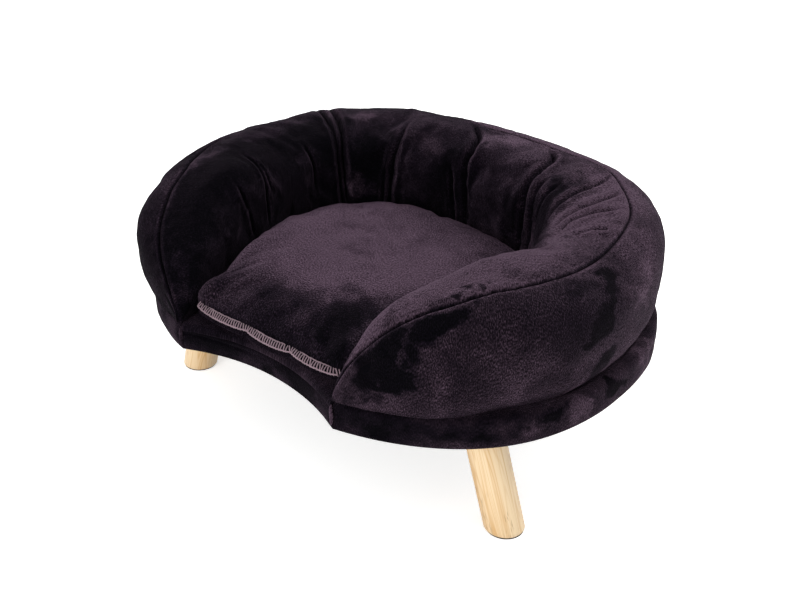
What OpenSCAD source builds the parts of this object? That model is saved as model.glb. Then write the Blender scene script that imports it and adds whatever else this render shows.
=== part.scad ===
// Raised sofa bed for a small dog: an upholstered base on four splayed wooden legs, a fat
// horseshoe bolster and a loose seat cushion. Millimetres, Z up, front towards -Y, origin on
// the floor under the middle of the whole bed.

/* [Base] */
// Width of the upholstered base
base_width = 700; // [660:5:760]
// Depth of the base from its middle line to the front of its oval
base_front_reach = 275; // [260:5:300]
// Depth of the base from its middle line to its back
base_back_reach = 294; // [270:5:310]
// Distance of each front corner from the centre line
corner_reach = 133; // [120:1:150]
// How far the middle of the front edge lies behind the front corners
front_scoop = 31; // [15:1:40]
// Height of the base's underside above the floor
underside_height = 152; // [120:1:180]
// Thickness of the whole base
base_thickness = 34; // [30:1:45]
// Thickness of the plywood board
board_thickness = 18; // [15:0.5:20]
// Thickness of the wadding round the board's edge
edge_wadding = 6.4; // [4:0.2:9]
// Thickness of the plush cloth
plush = 1.6; // [1.2:0.1:2]
// Width of the plush that is turned in under the board
hem_width = 30; // [26:1:40]
// Thickness of the dust cover under the board
dust_cloth = 0.5; // [0.3:0.1:0.8]

/* [Legs] */
// Diameter of each round leg
leg_diameter = 49; // [40:1:52]
// Angle by which each leg leans out sideways
leg_splay = 16.7; // [8:0.1:20]
// Distance of the front feet in from the side of the base
front_foot_inset = 67; // [50:1:80]
// Distance of the front feet in front of the base's middle line
front_foot_y = 124; // [100:1:140]
// Distance of the rear feet in from the side of the base
rear_foot_inset = 139; // [125:1:160]
// Distance of the rear feet behind the base's middle line
rear_foot_y = 172; // [150:1:180]
// Thickness of the pad under each leg
pad_thickness = 2; // [1:0.5:4]
// How far the pad stands in from the leg's edge
pad_inset = 1.5; // [0.5:0.5:3]
// Diameter of the hanger bolt in each leg
bolt_diameter = 8; // [6:1:10]
// Depth of the hanger bolt in the leg
bolt_grip = 32; // [24:1:40]

/* [Bolster] */
// Height of the arms above the base
arm_height = 143; // [120:1:155]
// Height of the back above the base
back_height = 151; // [125:1:165]
// Distance of the arms' inner faces in from the side of the base
arm_width = 151.5; // [145:0.5:160]
// Distance of the back's inner face behind the base's middle line
seat_back = 146; // [135:1:155]
// Distance of the seat's widest place in front of the middle line
seat_middle = 5; // [0:1:20]
// How far the bolster stands in from the base's edge at the sides and back
foot_inset = 20; // [14:1:26]
// How far the bolster stands in from the base's edge at the front corners
nose_inset = 3; // [2:1:8]
// How far the bolster bulges out past its foot
outer_bulge = 22; // [14:1:28]
// How far it bulges out at the front corners
nose_bulge = 3; // [1:1:6]
// Length over which each arm rises from its front corner
nose_length = 200; // [150:5:240]
// How far the inner foot is tucked under
inner_tuck = 4; // [2:0.5:8]
// Depth of the crease along the crest seam
seam_crease = 4; // [1:0.5:6]
// Depth of the gathered folds in the inner panel
fold_depth = 6; // [2:0.5:9]

/* [Cushion] */
// Height of the cushion's crown above the base
cushion_height = 60; // [45:1:70]
// Height of the cushion's edge seam above the base
cushion_seam = 20; // [14:1:26]
// Gap between the cushion and the bolster
cushion_gap = 2; // [1:0.5:5]
// Gap between the cushion's underside and the base
rest_gap = 0.3; // [0.2:0.1:0.6]
// Distance of the cushion's front hem in front of the middle line
hem_reach = 235; // [228:1:238]
// Half width of the straight front hem
hem_half = 118; // [100:1:122]
// Width of the overlocked edge that stands out of the front hem
overlock_width = 6.5; // [4:0.5:9]
// Thickness of the overlocked edge
overlock_thickness = 3; // [2:0.2:4]
// How far the overlocked edge droops and swells in each scallop
overlock_scallop = 2.5; // [0:0.5:4]

/* [Zip] */
// Distance of each end of the zip in from the side of the cushion
zip_side_inset = 76.5; // [65:0.5:100]
// Distance of the zip behind the middle line
zip_back = 56; // [20:1:60]
// Width of the chain
chain_width = 5.2; // [4.4:0.1:6]
// Thickness of the chain
chain_thickness = 1.4; // [1:0.1:1.6]
// Width of each tape
tape_width = 13; // [10:0.5:16]
// Thickness of each tape
tape_thickness = 0.5; // [0.4:0.05:0.6]
// Distance from tooth to tooth
tooth_pitch = 3; // [2.5:0.1:4]
// Length of the slider
slider_length = 11; // [8:0.5:14]
// Width of the slider
slider_width = 9; // [8:0.2:10]
// Length of the pull
pull_length = 20; // [14:1:26]
// Width of the pull
pull_width = 5; // [4:0.2:7]

/* [Staples] */
// Width of a staple's crown
staple_width = 10; // [8:0.5:13]
// Length of a staple's legs
staple_length = 9; // [6:0.5:12]
// Thickness of the staple's wire
staple_wire = 1; // [0.7:0.1:1.3]
// Number of staples along the oval edge
side_staple_count = 26; // [16:1:36]
// Number of staples along the front edge
front_staple_count = 5; // [3:1:8]

/* [Hidden] */

// Small fits: a drilled hole round its bolt, a slot round a staple, overrun of every cut
bolt_fit = 0.05;
slot_fit = 0.05;
running_fit = 0.2;
overrun = 1;

// Exponents of the oval plan, the bolster's round outer side and its fuller inner side
oval_power = 2.31;
outer_power = 2.5;
inner_power = 3.6;

// Finish
plush_colour = [0.20, 0.15, 0.21];
seat_colour = [0.30, 0.24, 0.31];
thread_colour = [0.50, 0.40, 0.47];
pine_colour = [0.87, 0.73, 0.52];
ply_colour = [0.76, 0.62, 0.42];
foam_colour = [0.90, 0.86, 0.66];
steel_colour = [0.70, 0.71, 0.73];
zip_colour = [0.16, 0.12, 0.17];

// Places that follow from the sizes above
base_top = underside_height + base_thickness;
hem_bottom = underside_height + dust_cloth;
board_bottom = hem_bottom + plush;
board_top = board_bottom + board_thickness;
board_inset = plush + edge_wadding;
cushion_floor = base_top + rest_gap;
seam_height = base_top + cushion_seam;
leg_radius = leg_diameter / 2;
lean = tan(leg_splay);

function signed_power(v, p) = sign(v) * pow(abs(v), p);
function ease(v) = let (s = min(max(v, 0), 1)) s * s * (3 - 2 * s);

// Plan of the base: an oval whose front is scooped out between two corners
function oval_point(t, inset) = [
    (base_width / 2 - inset) * signed_power(cos(t), 2 / oval_power),
    ((sin(t) < 0 ? base_front_reach : base_back_reach) - inset)
        * signed_power(sin(t), 2 / oval_power)];
function corner_angle(inset) =
    -acos(pow(corner_reach / (base_width / 2 - inset), oval_power / 2));
function oval_side(inset, steps) = let (first = corner_angle(inset))
    [for (i = [0:steps]) oval_point(first + (180 - 2 * first) * i / steps, inset)];
corner_depth = -oval_point(corner_angle(0), 0)[1];
function scoop_edge(inset, steps) = let (
    corner = oval_point(corner_angle(inset), inset),
    middle = -corner_depth + front_scoop + inset,
    rise = middle - corner[1],
    radius = (corner[0] * corner[0] + rise * rise) / (2 * rise),
    half_angle = asin(corner[0] / radius))
    [for (i = [0:steps]) let (a = half_angle * (2 * i / steps - 1))
        [radius * sin(a), middle - radius + radius * cos(a)]];
side_steps = 72;
scoop_steps = 16;
function inner_of(points) = [for (i = [1:len(points) - 2]) points[i]];
function reversed(points) = [for (i = [len(points) - 1:-1:0]) points[i]];
function base_outline(inset) =
    concat(oval_side(inset, side_steps), inner_of(scoop_edge(inset, scoop_steps)));

// The whole bed is moved so that its box is centred on the origin
back_overhang = max(0, outer_bulge - foot_inset);
front_overhang = max(0, nose_bulge - nose_inset);
plan_shift = (corner_depth + front_overhang - base_back_reach - back_overhang) / 2;
module placed() { translate([0, plan_shift, 0]) children(); }

module slab(points, low, high) {
    translate([0, 0, low]) linear_extrude(high - low) polygon(points);
}

// Legs
front_foot_x = base_width / 2 - front_foot_inset;
rear_foot_x = base_width / 2 - rear_foot_inset;
leg_places = [["front_left", -front_foot_x, -front_foot_y],
    ["front_right", front_foot_x, -front_foot_y],
    ["rear_left", -rear_foot_x, rear_foot_y], ["rear_right", rear_foot_x, rear_foot_y]];
bore_radius = bolt_diameter / 2 + bolt_fit;
nut_wall = 1.5;
barrel_radius = bolt_diameter / 2 + nut_wall;
flange_radius = 1.4 * bolt_diameter;
barrel_length = board_thickness / 2;
prong_width = 3;
prong_length = 6;
prong_count = 3;
function leg_top_x(place) = place[1] - sign(place[1]) * lean * board_bottom;

module leaning_rod(place, radius, low, high) {
    intersection() {
        translate([place[1], place[2], 0]) rotate([0, -sign(place[1]) * leg_splay, 0])
            translate([0, 0, -leg_diameter])
                cylinder(r = radius, h = high + 2 * leg_diameter, $fn = 96);
        translate([place[1] - base_width / 2, place[2] - leg_diameter, low])
            cube([base_width, 2 * leg_diameter, high - low]);
    }
}

module leg(place) {
    color(pine_colour) placed() difference() {
        leaning_rod(place, leg_radius, pad_thickness, board_bottom);
        translate([leg_top_x(place), place[2], board_bottom - bolt_grip])
            cylinder(r = bore_radius, h = bolt_grip + overrun, $fn = 48);
    }
}

module foot_pad(place) {
    color("black") placed() leaning_rod(place, leg_radius - pad_inset, 0, pad_thickness);
}

module hanger_bolt(place) {
    color(steel_colour) placed() translate([leg_top_x(place), place[2], board_bottom - bolt_grip])
        cylinder(d = bolt_diameter, h = bolt_grip + board_thickness - nut_wall / 2, $fn = 48);
}

// A tee nut, or with a fit the room that it takes in the board
module tee_nut_form(place, fit) {
    translate([leg_top_x(place), place[2], 0]) {
        translate([0, 0, board_top - nut_wall])
            cylinder(r = flange_radius + fit, h = nut_wall + (fit > 0 ? overrun : 0), $fn = 48);
        translate([0, 0, board_top - barrel_length])
            cylinder(r = barrel_radius + fit, h = barrel_length - nut_wall / 2, $fn = 48);
        for (i = [0:prong_count - 1]) rotate([0, 0, 360 * i / prong_count])
            translate([flange_radius - 1.5 * nut_wall - fit, -prong_width / 2 - fit,
                    board_top - nut_wall / 2 - prong_length - fit])
                cube([nut_wall + 2 * fit, prong_width + 2 * fit, prong_length + fit]);
    }
}

module tee_nut(place) {
    color(steel_colour) placed() difference() {
        tee_nut_form(place, 0);
        translate([leg_top_x(place), place[2], board_top - barrel_length - overrun])
            cylinder(r = bore_radius, h = barrel_length + 2 * overrun, $fn = 48);
    }
}

// Base
staple_inset = board_inset + 1.5 * staple_width;
function edge_places(points) = [for (i = [1:len(points) - 2]) let (
    along = points[i + 1] - points[i - 1])
    [points[i][0], points[i][1], atan2(along[1], along[0])]];
staple_places = concat(edge_places(oval_side(staple_inset, side_staple_count + 1)),
    edge_places(scoop_edge(staple_inset, front_staple_count + 1)));

// All the staples, or with a fit the slots that they need
module staple_forms(fit) {
    for (p = staple_places) translate([p[0], p[1], underside_height]) rotate([0, 0, p[2]]) {
        if (fit == 0) translate([-staple_width / 2, -staple_wire / 2, -staple_wire / 2])
            cube([staple_width, staple_wire, staple_wire / 2]);
        for (side = [-1, 1])
            translate([side * (staple_width - staple_wire) / 2 - staple_wire / 2 - fit,
                    -staple_wire / 2 - fit, fit > 0 ? -overrun : 0])
                cube([staple_wire + 2 * fit, staple_wire + 2 * fit,
                    staple_length + fit + (fit > 0 ? overrun : 0)]);
    }
}

module base_board() {
    color(ply_colour) placed() difference() {
        slab(base_outline(board_inset), board_bottom, board_top);
        for (place = leg_places) {
            translate([leg_top_x(place), place[2], board_bottom - overrun])
                cylinder(r = bore_radius, h = board_thickness + 2 * overrun, $fn = 48);
            tee_nut_form(place, bolt_fit);
        }
        staple_forms(slot_fit);
    }
}

module base_foam() {
    color(foam_colour) placed() slab(base_outline(plush), board_top, base_top - plush);
}

module base_wadding() {
    color("white") placed() difference() {
        slab(base_outline(plush), board_bottom, board_top);
        slab(base_outline(board_inset), board_bottom - overrun, board_top + overrun);
    }
}

module base_top_panel() {
    color(plush_colour) placed() slab(base_outline(plush), base_top - plush, base_top);
}

module base_side_band() {
    color(plush_colour) placed() slab(concat(oval_side(0, side_steps),
        reversed(oval_side(plush, side_steps))), hem_bottom, base_top);
}

module base_front_band() {
    color(plush_colour) placed() slab(concat(scoop_edge(0, scoop_steps),
        reversed(scoop_edge(plush, scoop_steps))), hem_bottom, base_top);
}

module base_hem() {
    color(plush_colour) placed() difference() {
        slab(base_outline(plush), hem_bottom, board_bottom);
        slab(base_outline(plush + hem_width), hem_bottom - overrun, board_bottom + overrun);
        staple_forms(slot_fit);
    }
}

module dust_cover() {
    color("black") placed() difference() {
        slab(base_outline(board_inset + staple_wire), underside_height, hem_bottom);
        for (place = leg_places) translate([leg_top_x(place), place[2], underside_height - overrun])
            cylinder(r = leg_radius + 2 * pad_inset, h = dust_cloth + 2 * overrun, $fn = 64);
        staple_forms(slot_fit);
    }
}

module cover_staples() { color(steel_colour) placed() staple_forms(0); }

// Seat curve: the inner foot of the bolster, and with a gap the cushion's outline
seat_half = base_width / 2 - arm_width;
seat_depth = seat_back + seat_middle;
arm_lean_shares = [0.345, 0.672];
nose_x = corner_reach - nose_inset;
shoulder_x = corner_reach + 2 * nose_inset;
function bezier(points, s) = let (r = 1 - s)
    r * r * r * points[0] + 3 * r * r * s * points[1] + 3 * r * s * s * points[2]
    + s * s * s * points[3];
function arm_curve(s, gap) = bezier([
    [seat_half - gap, -seat_middle],
    [seat_half - gap, -seat_middle - arm_lean_shares[0] * (corner_depth - seat_middle)],
    [shoulder_x - gap, -seat_middle - arm_lean_shares[1] * (corner_depth - seat_middle)],
    [nose_x - gap, -corner_depth + nose_inset]], s);
function back_curve(t, gap) = [(seat_half - gap) * signed_power(cos(t), 2 / oval_power),
    -seat_middle + (seat_depth - gap) * signed_power(sin(t), 2 / oval_power)];

// Stations of the bolster, as angles of the oval: close together near the front corner
tip_angle = corner_angle(nose_inset);
nose_steps = 15;
back_steps = 14;
nose_crowding = 1.4;
first_share = 0.004;
half_angles = concat(
    [for (i = [0:nose_steps - 1])
        tip_angle * (1 - first_share) * (1 - pow(i / nose_steps, nose_crowding))],
    [for (i = [0:back_steps - 1]) 90 * i / back_steps]);
fold_steps = [-3, 1, 5, 9, 14];
fold_stations = [for (s = fold_steps) nose_steps + s];
half_count = len(half_angles);
station_count = 2 * half_count + 1;

// Where the outer foot moves in from the corner's inset to the side's, and the bulge grows
inset_start = -52;
inset_span = 20;
bulge_start = -66;
bulge_span = 40;
back_rise_start = 12;
back_rise_span = 55;
back_seam_span = 70;
rise_power = 1.75;
lean_power = 0.55;
function outer_foot(t) = oval_point(t,
    nose_inset + (foot_inset - nose_inset) * ease((t - inset_start) / inset_span));
function inner_foot(t) = t < 0
    ? arm_curve(1 - pow((t - tip_angle) / -tip_angle, lean_power), 0) : back_curve(t, 0);
tip_point = oval_point(tip_angle, nose_inset);
function rise(share) = pow(1 - pow(1 - min(share, 1), rise_power), 1 / rise_power);
function section_height(t) = t < 0
    ? arm_height * rise(norm(outer_foot(t) - tip_point) / nose_length)
    : arm_height + (back_height - arm_height) * ease((t - back_rise_start) / back_rise_span);
function section_bulge(t) =
    nose_bulge + (outer_bulge - nose_bulge) * ease((t - bulge_start) / bulge_span);

// Angle of the crest seam round the section: low on the outside at the corner and the back
arm_seam_angle = 68;
back_seam_angle = 42;
nose_seam_angle = 30;
nose_seam_span = 22;
function seam_angle(t) = t < 0
    ? nose_seam_angle + (arm_seam_angle - nose_seam_angle) * ease((t - tip_angle) / nose_seam_span)
    : arm_seam_angle + (back_seam_angle - arm_seam_angle) * ease(t / back_seam_span);

// Section of the bolster in its own plane: x from the inner foot outwards, y up from the base.
// It is four superellipse quadrants about a middle point.
middle_x_share = 0.47;
middle_y_share = 0.56;
outer_cells = 8;
inner_cells = 9;
function low_reach(middle_y, foot_share, power) =
    middle_y / pow(1 - pow(foot_share, power), 1 / power);
function quadrant(angle, half_x, half_y, power) =
    [half_x * signed_power(cos(angle), 2 / power), half_y * signed_power(sin(angle), 2 / power)];
function section(t, fold) = let (
    foot = norm(outer_foot(t) - inner_foot(t)),
    width = foot + section_bulge(t),
    height = section_height(t),
    mx = middle_x_share * width,
    my = middle_y_share * height,
    out_share = (foot - mx) / (width - mx),
    in_share = 1 - min(inner_tuck, mx / 4) / mx,
    out_low = low_reach(my, out_share, outer_power),
    in_low = low_reach(my, in_share, inner_power),
    out_end = -asin(pow(my / out_low, outer_power / 2)),
    in_end = 180 + asin(pow(my / in_low, inner_power / 2)),
    seam = seam_angle(t),
    angles = concat([for (k = [0:outer_cells]) out_end + (seam - out_end) * k / outer_cells],
        [for (k = [1:inner_cells]) seam + (in_end - seam) * k / inner_cells]),
    middle = [mx, my])
    [for (k = [0:len(angles) - 1]) let (a = angles[k],
        raw = a < 0 ? quadrant(a, width - mx, out_low, outer_power)
            : a <= 90 ? quadrant(a, width - mx, height - my, outer_power)
            : a <= 180 ? quadrant(a, mx, height - my, inner_power)
            : quadrant(a, mx, in_low, inner_power),
        pull = k == outer_cells ? seam_crease * min(1, height / arm_height)
            : k > outer_cells ? fold * sin(180 * (k - outer_cells) / inner_cells) : 0)
        [max(middle[0] + raw[0] * (1 - pull / norm(raw)), 0),
            k == 0 || k == len(angles) - 1 ? 0 : middle[1] + raw[1] * (1 - pull / norm(raw))]];

// The same section with the cloth's thickness taken off
function thinner(points, cloth) = [for (k = [0:len(points) - 1]) let (
    last = len(points) - 1,
    along = points[min(k + 1, last)] - points[max(k - 1, 0)],
    inward = [-along[1], along[0]] / norm(along))
    k == 0 ? [points[0][0] - cloth, 0] : k == last ? [points[last][0] + cloth, 0]
        : points[k] + cloth * inward];

function in_space(t, points) = let (from = inner_foot(t), to = outer_foot(t),
    along = (to - from) / norm(to - from))
    [for (p = points) [from[0] + along[0] * p[0], from[1] + along[1] * p[0], base_top + p[1]]];
function mirrored(points) = [for (p = points) [-p[0], p[1], p[2]]];
function has_fold(i) = len([for (f = fold_stations) if (f == i) 1]) > 0;
function half_section(i, cloth) = let (
    t = i < half_count ? half_angles[i] : 90,
    points = section(t, has_fold(i) ? fold_depth : 0))
    in_space(t, cloth > 0 ? thinner(points, cloth) : points);
function bolster_grid(cloth) = [for (i = [0:station_count - 1]) i <= half_count
    ? half_section(i, cloth) : mirrored(half_section(station_count - 1 - i, cloth))];
outer_grid = bolster_grid(0);
inner_grid = bolster_grid(plush);
section_count = outer_cells + inner_cells + 1;

// Triangles between two rows of a grid that is stored row by row
function cell(a, b, c, d) = [[a, b, c], [a, c, d]];
function flat_list(rows) = [for (row = rows) for (item = row) item];

// A shell: one side is a part of the outer grid, the other the same part of the inner grid
module shell(outside, inside, first, last) {
    rows = len(outside);
    width = last - first + 1;
    points = flat_list([for (side = [outside, inside]) for (row = side)
        [for (k = [first:last]) row[k]]]);
    back = rows * width;
    faces = flat_list(concat(
        [for (i = [0:rows - 2]) for (k = [0:width - 2])
            cell(i * width + k, i * width + k + 1, (i + 1) * width + k + 1, (i + 1) * width + k)],
        [for (i = [0:rows - 2]) for (k = [0:width - 2]) cell(back + i * width + k,
            back + (i + 1) * width + k, back + (i + 1) * width + k + 1, back + i * width + k + 1)],
        [for (i = [0:rows - 2]) cell(i * width, (i + 1) * width,
            back + (i + 1) * width, back + i * width)],
        [for (i = [0:rows - 2]) let (k = width - 1) cell(i * width + k, back + i * width + k,
            back + (i + 1) * width + k, (i + 1) * width + k)],
        [for (k = [0:width - 2]) cell(k, back + k, back + k + 1, k + 1)],
        [for (k = [0:width - 2]) let (i = rows - 1) cell(i * width + k, i * width + k + 1,
            back + i * width + k + 1, back + i * width + k)]));
    polyhedron(points, faces, convexity = 8);
}

// A solid: the whole inner grid closed along its foot and capped at both ends
module solid_loft(grid) {
    rows = len(grid);
    width = len(grid[0]);
    faces = flat_list(concat(
        [for (i = [0:rows - 2]) for (k = [0:width - 1]) let (n = (k + 1) % width)
            cell(i * width + k, i * width + n, (i + 1) * width + n, (i + 1) * width + k)],
        [for (k = [1:width - 2]) [[0, k + 1, k]]],
        [for (k = [1:width - 2]) let (i = (rows - 1) * width) [[i, i + k, i + k + 1]]]));
    polyhedron(flat_list(grid), faces, convexity = 8);
}

module bolster_outer_panel() {
    color(plush_colour) placed() shell(outer_grid, inner_grid, 0, outer_cells);
}

module bolster_inner_panel() {
    color(plush_colour) placed() shell(outer_grid, inner_grid, outer_cells, section_count - 1);
}

module bolster_fill() { color("white") placed() solid_loft(inner_grid); }

// Cushion outline, right half from the middle of the hem to the middle of the back
hem_shares = [0, 0.34, 0.68, 0.97];
side_shares = [0.88, 0.8, 0.68, 0.54, 0.4, 0.27, 0.13];
rear_steps = 9;
half_edge = concat([for (s = hem_shares) [s * hem_half, -hem_reach]],
    [for (s = side_shares) arm_curve(s, cushion_gap)],
    [for (i = [0:rear_steps]) back_curve(90 * i / rear_steps, cushion_gap)]);
cushion_edge = concat(half_edge,
    [for (i = [len(half_edge) - 2:-1:1]) [-half_edge[i][0], half_edge[i][1]]]);
edge_count = len(cushion_edge);

// Crown of the top and flat of the underside, as shares of the way out to the edge
top_ring_shares = [0.3, 0.56, 0.76, 0.89, 0.965, 1];
under_ring_shares = [0.93, 0.98, 1];
crown_power = 4;
crown_fullness = 0.42;
under_power = 14;
function top_height(share) = seam_height
    + (cushion_height - cushion_seam) * pow(1 - pow(share, crown_power), crown_fullness);
function under_height(share) = seam_height
    - (seam_height - cushion_floor) * pow(1 - pow(share, under_power), 0.5);
function top_ring(share, cloth) = [for (p = cushion_edge) let (q = p * (1 - cloth / norm(p)))
    [q[0] * share, q[1] * share, top_height(share) - cloth * (share < 1 ? 1 : 0)]];
function under_ring(share, cloth) = [for (p = cushion_edge) let (q = p * (1 - cloth / norm(p)))
    [q[0] * share, q[1] * share, share == under_ring_shares[0] ? cushion_floor + cloth
        : under_height(share) + cloth * (share < 1 ? 1 : 0)]];
function top_points(cloth) = concat([[0, 0, top_height(0) - cloth]],
    flat_list([for (s = top_ring_shares) top_ring(s, cloth)]));
function under_points(cloth) = concat([[0, 0, cushion_floor + cloth]],
    flat_list([for (s = under_ring_shares) under_ring(s, cloth)]));

// Triangles of a disc of rings, seen from above in one turning sense
function disc_faces(start, rings) = flat_list(concat(
    [for (j = [0:edge_count - 1]) [[start, start + 1 + (j + 1) % edge_count, start + 1 + j]]],
    [for (r = [0:rings - 2]) for (j = [0:edge_count - 1]) let (
        a = start + 1 + r * edge_count, n = (j + 1) % edge_count)
        cell(a + j, a + n, a + edge_count + n, a + edge_count + j)]));
function turned(faces) = [for (f = faces) [f[0], f[2], f[1]]];

module cushion_shell(outside, inside, rings, up) {
    below = len(outside);
    rim = 1 + (rings - 1) * edge_count;
    rim_faces = flat_list([for (j = [0:edge_count - 1]) let (n = (j + 1) % edge_count)
        cell(rim + j, rim + n, below + rim + n, below + rim + j)]);
    faces = concat(disc_faces(0, rings), turned(disc_faces(below, rings)), rim_faces);
    polyhedron(concat(outside, inside), up ? faces : turned(faces), convexity = 4);
}

module cushion_top_panel() {
    color(seat_colour) placed()
        cushion_shell(top_points(0), top_points(plush), len(top_ring_shares), true);
}

// Zip under the cushion: the chain hangs in a slot of the bottom panel between two tapes.
// The slot runs on past the open end to hold the pull.
slider_rest = 0.15;
post_width = 0.6;
tooth_count = round(2 * (seat_half - cushion_gap - zip_side_inset) / tooth_pitch);
zip_length = tooth_count * tooth_pitch;
zip_floor = cushion_floor + plush;
tape_middle = zip_floor + tape_thickness / 2;
chain_floor = tape_middle - chain_thickness / 2;
slider_floor = cushion_floor + slider_rest;
slider_height = 2 * (tape_middle - slider_floor);
slot_end = zip_length / 2 + 2 * tooth_pitch;
slot_start = -slot_end - pull_length;
slot_width = slider_width + 2 * running_fit;
tape_span = chain_width / 2 + tape_width;
tape_over = 2 * tooth_pitch;
groove_top = slider_floor + slider_height + 2 * running_fit;
slider_end = zip_length / 2 - running_fit;

module zip_box(start, end, width, low, high) {
    translate([start, zip_back - width / 2, low]) cube([end - start, width, high - low]);
}

module cushion_bottom_panel() {
    color(seat_colour) placed() difference() {
        cushion_shell(under_points(0), under_points(plush), len(under_ring_shares), false);
        zip_box(slot_start, slot_end, slot_width, cushion_floor - overrun, zip_floor + overrun);
    }
}

module cushion_fill() {
    rings_top = len(top_ring_shares);
    rings_under = len(under_ring_shares) - 1;
    top = top_points(plush);
    under = [for (i = [0:rings_under * edge_count]) under_points(plush)[i]];
    rim = 1 + (rings_top - 1) * edge_count;
    low_rim = len(top) + 1 + (rings_under - 1) * edge_count;
    side = flat_list([for (j = [0:edge_count - 1]) let (n = (j + 1) % edge_count)
        cell(rim + j, rim + n, low_rim + n, low_rim + j)]);
    color("white") placed() difference() {
        polyhedron(concat(top, under), concat(disc_faces(0, rings_top),
            turned(disc_faces(len(top), rings_under)), side), convexity = 4);
        zip_box(slot_start, slot_end, slot_width, zip_floor - overrun, groove_top);
        zip_box(slot_start - tape_over - running_fit, slot_end + tape_over + running_fit,
            2 * (tape_span + running_fit), zip_floor - overrun,
            zip_floor + tape_thickness + running_fit);
    }
}

module zip_tape(side) {
    color(zip_colour) placed() translate([slot_start - tape_over, zip_back
            + (side > 0 ? chain_width / 2 : -tape_span), zip_floor])
        cube([slot_end - slot_start + 2 * tape_over, tape_width, tape_thickness]);
}

// One comb of teeth on its tape. The two combs stop just short of each other, so that the
// slider's post passes between them.
spine_width = chain_width / 5;
tooth_tip = post_width / 2 + running_fit;
tooth_gap = tooth_pitch / 4;
module zip_chain(side) {
    color(zip_colour) placed() translate([-zip_length / 2, zip_back, chain_floor])
        linear_extrude(chain_thickness) mirror([0, side > 0 ? 0 : 1]) polygon(concat(
            [[zip_length, chain_width / 2], [0, chain_width / 2]],
            [for (i = [0:tooth_count - 1]) each let (x = i * tooth_pitch)
                [[x, chain_width / 2 - spine_width], [x + tooth_gap, chain_width / 2 - spine_width],
                    [x + tooth_gap, tooth_tip], [x + tooth_pitch - tooth_gap, tooth_tip],
                    [x + tooth_pitch - tooth_gap, chain_width / 2 - spine_width]]],
            [[zip_length, chain_width / 2 - spine_width]]));
}

module zip_stops() {
    color(steel_colour) placed() for (end = [-1, 1])
        zip_box(end * (zip_length + tooth_pitch) / 2 - tooth_pitch / 2,
            end * (zip_length + tooth_pitch) / 2 + tooth_pitch / 2,
            chain_width, chain_floor, chain_floor + chain_thickness);
}

// Slider: two plates held together by a thin post in the middle of the chain
module zip_slider() {
    start = slider_end - slider_length;
    color(steel_colour) placed() union() {
        difference() {
            zip_box(start, slider_end, slider_width, slider_floor, slider_floor + slider_height);
            zip_box(start - overrun, slider_end + overrun, chain_width + 2 * running_fit,
                chain_floor - running_fit, chain_floor + chain_thickness + running_fit);
            zip_box(start - overrun, slider_end + overrun, slider_width + 2 * overrun,
                zip_floor - running_fit, zip_floor + tape_thickness + running_fit);
        }
        zip_box(start + slider_length / 4, slider_end - slider_length / 4, post_width,
            slider_floor, slider_floor + slider_height);
    }
}

module zip_pull() {
    start = slider_end - slider_length;
    color(steel_colour) placed() zip_box(start - pull_length, start, pull_width,
        slider_floor, chain_floor - running_fit);
}

// Overlocked raw edge along the front hem, in three shallow scallops
scallop_steps = 36;
module cushion_overlock_edge() {
    front = [for (i = [0:scallop_steps]) let (s = 2 * i / scallop_steps - 1)
        [s * hem_half, -hem_reach - overlock_width
            - overlock_scallop * abs(sin(270 * (s + 1)))]];
    rear = [for (p = reversed(front)) [p[0], -hem_reach]];
    color(thread_colour) placed() slab(concat(front, rear),
        seam_height - overlock_thickness / 2, seam_height + overlock_thickness / 2);
}

base_board();
base_foam();
base_wadding();
base_top_panel();
base_side_band();
base_front_band();
base_hem();
dust_cover();
cover_staples();
leg(leg_places[0]);  // leg_front_left
leg(leg_places[1]);  // leg_front_right
leg(leg_places[2]);  // leg_rear_left
leg(leg_places[3]);  // leg_rear_right
foot_pad(leg_places[0]);  // foot_pad_front_left
foot_pad(leg_places[1]);  // foot_pad_front_right
foot_pad(leg_places[2]);  // foot_pad_rear_left
foot_pad(leg_places[3]);  // foot_pad_rear_right
hanger_bolt(leg_places[0]);  // hanger_bolt_front_left
hanger_bolt(leg_places[1]);  // hanger_bolt_front_right
hanger_bolt(leg_places[2]);  // hanger_bolt_rear_left
hanger_bolt(leg_places[3]);  // hanger_bolt_rear_right
tee_nut(leg_places[0]);  // tee_nut_front_left
tee_nut(leg_places[1]);  // tee_nut_front_right
tee_nut(leg_places[2]);  // tee_nut_rear_left
tee_nut(leg_places[3]);  // tee_nut_rear_right
bolster_outer_panel();
bolster_inner_panel();
bolster_fill();
cushion_top_panel();
cushion_bottom_panel();
cushion_fill();
cushion_overlock_edge();
zip_tape(-1);  // zip_tape_front
zip_tape(1);  // zip_tape_rear
zip_chain(-1);  // zip_chain_front
zip_chain(1);  // zip_chain_rear
zip_stops();
zip_slider();
zip_pull();
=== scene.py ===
"""Dresses the sofa bed's frame: plush covers, a stuffed bolster with gathers, a loose cushion with
an overlocked hem, pine legs, a dust sheet, the zip's tapes and the studio. Shapes are worked out in
millimetres about the middle of the base and moved to the frame's origin when a mesh is made."""

import math
from itertools import product

import bmesh
import bpy
import numpy as np
from bpy.props import FloatProperty, FloatVectorProperty, IntProperty, PointerProperty
from mathutils import Matrix, Vector


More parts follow.
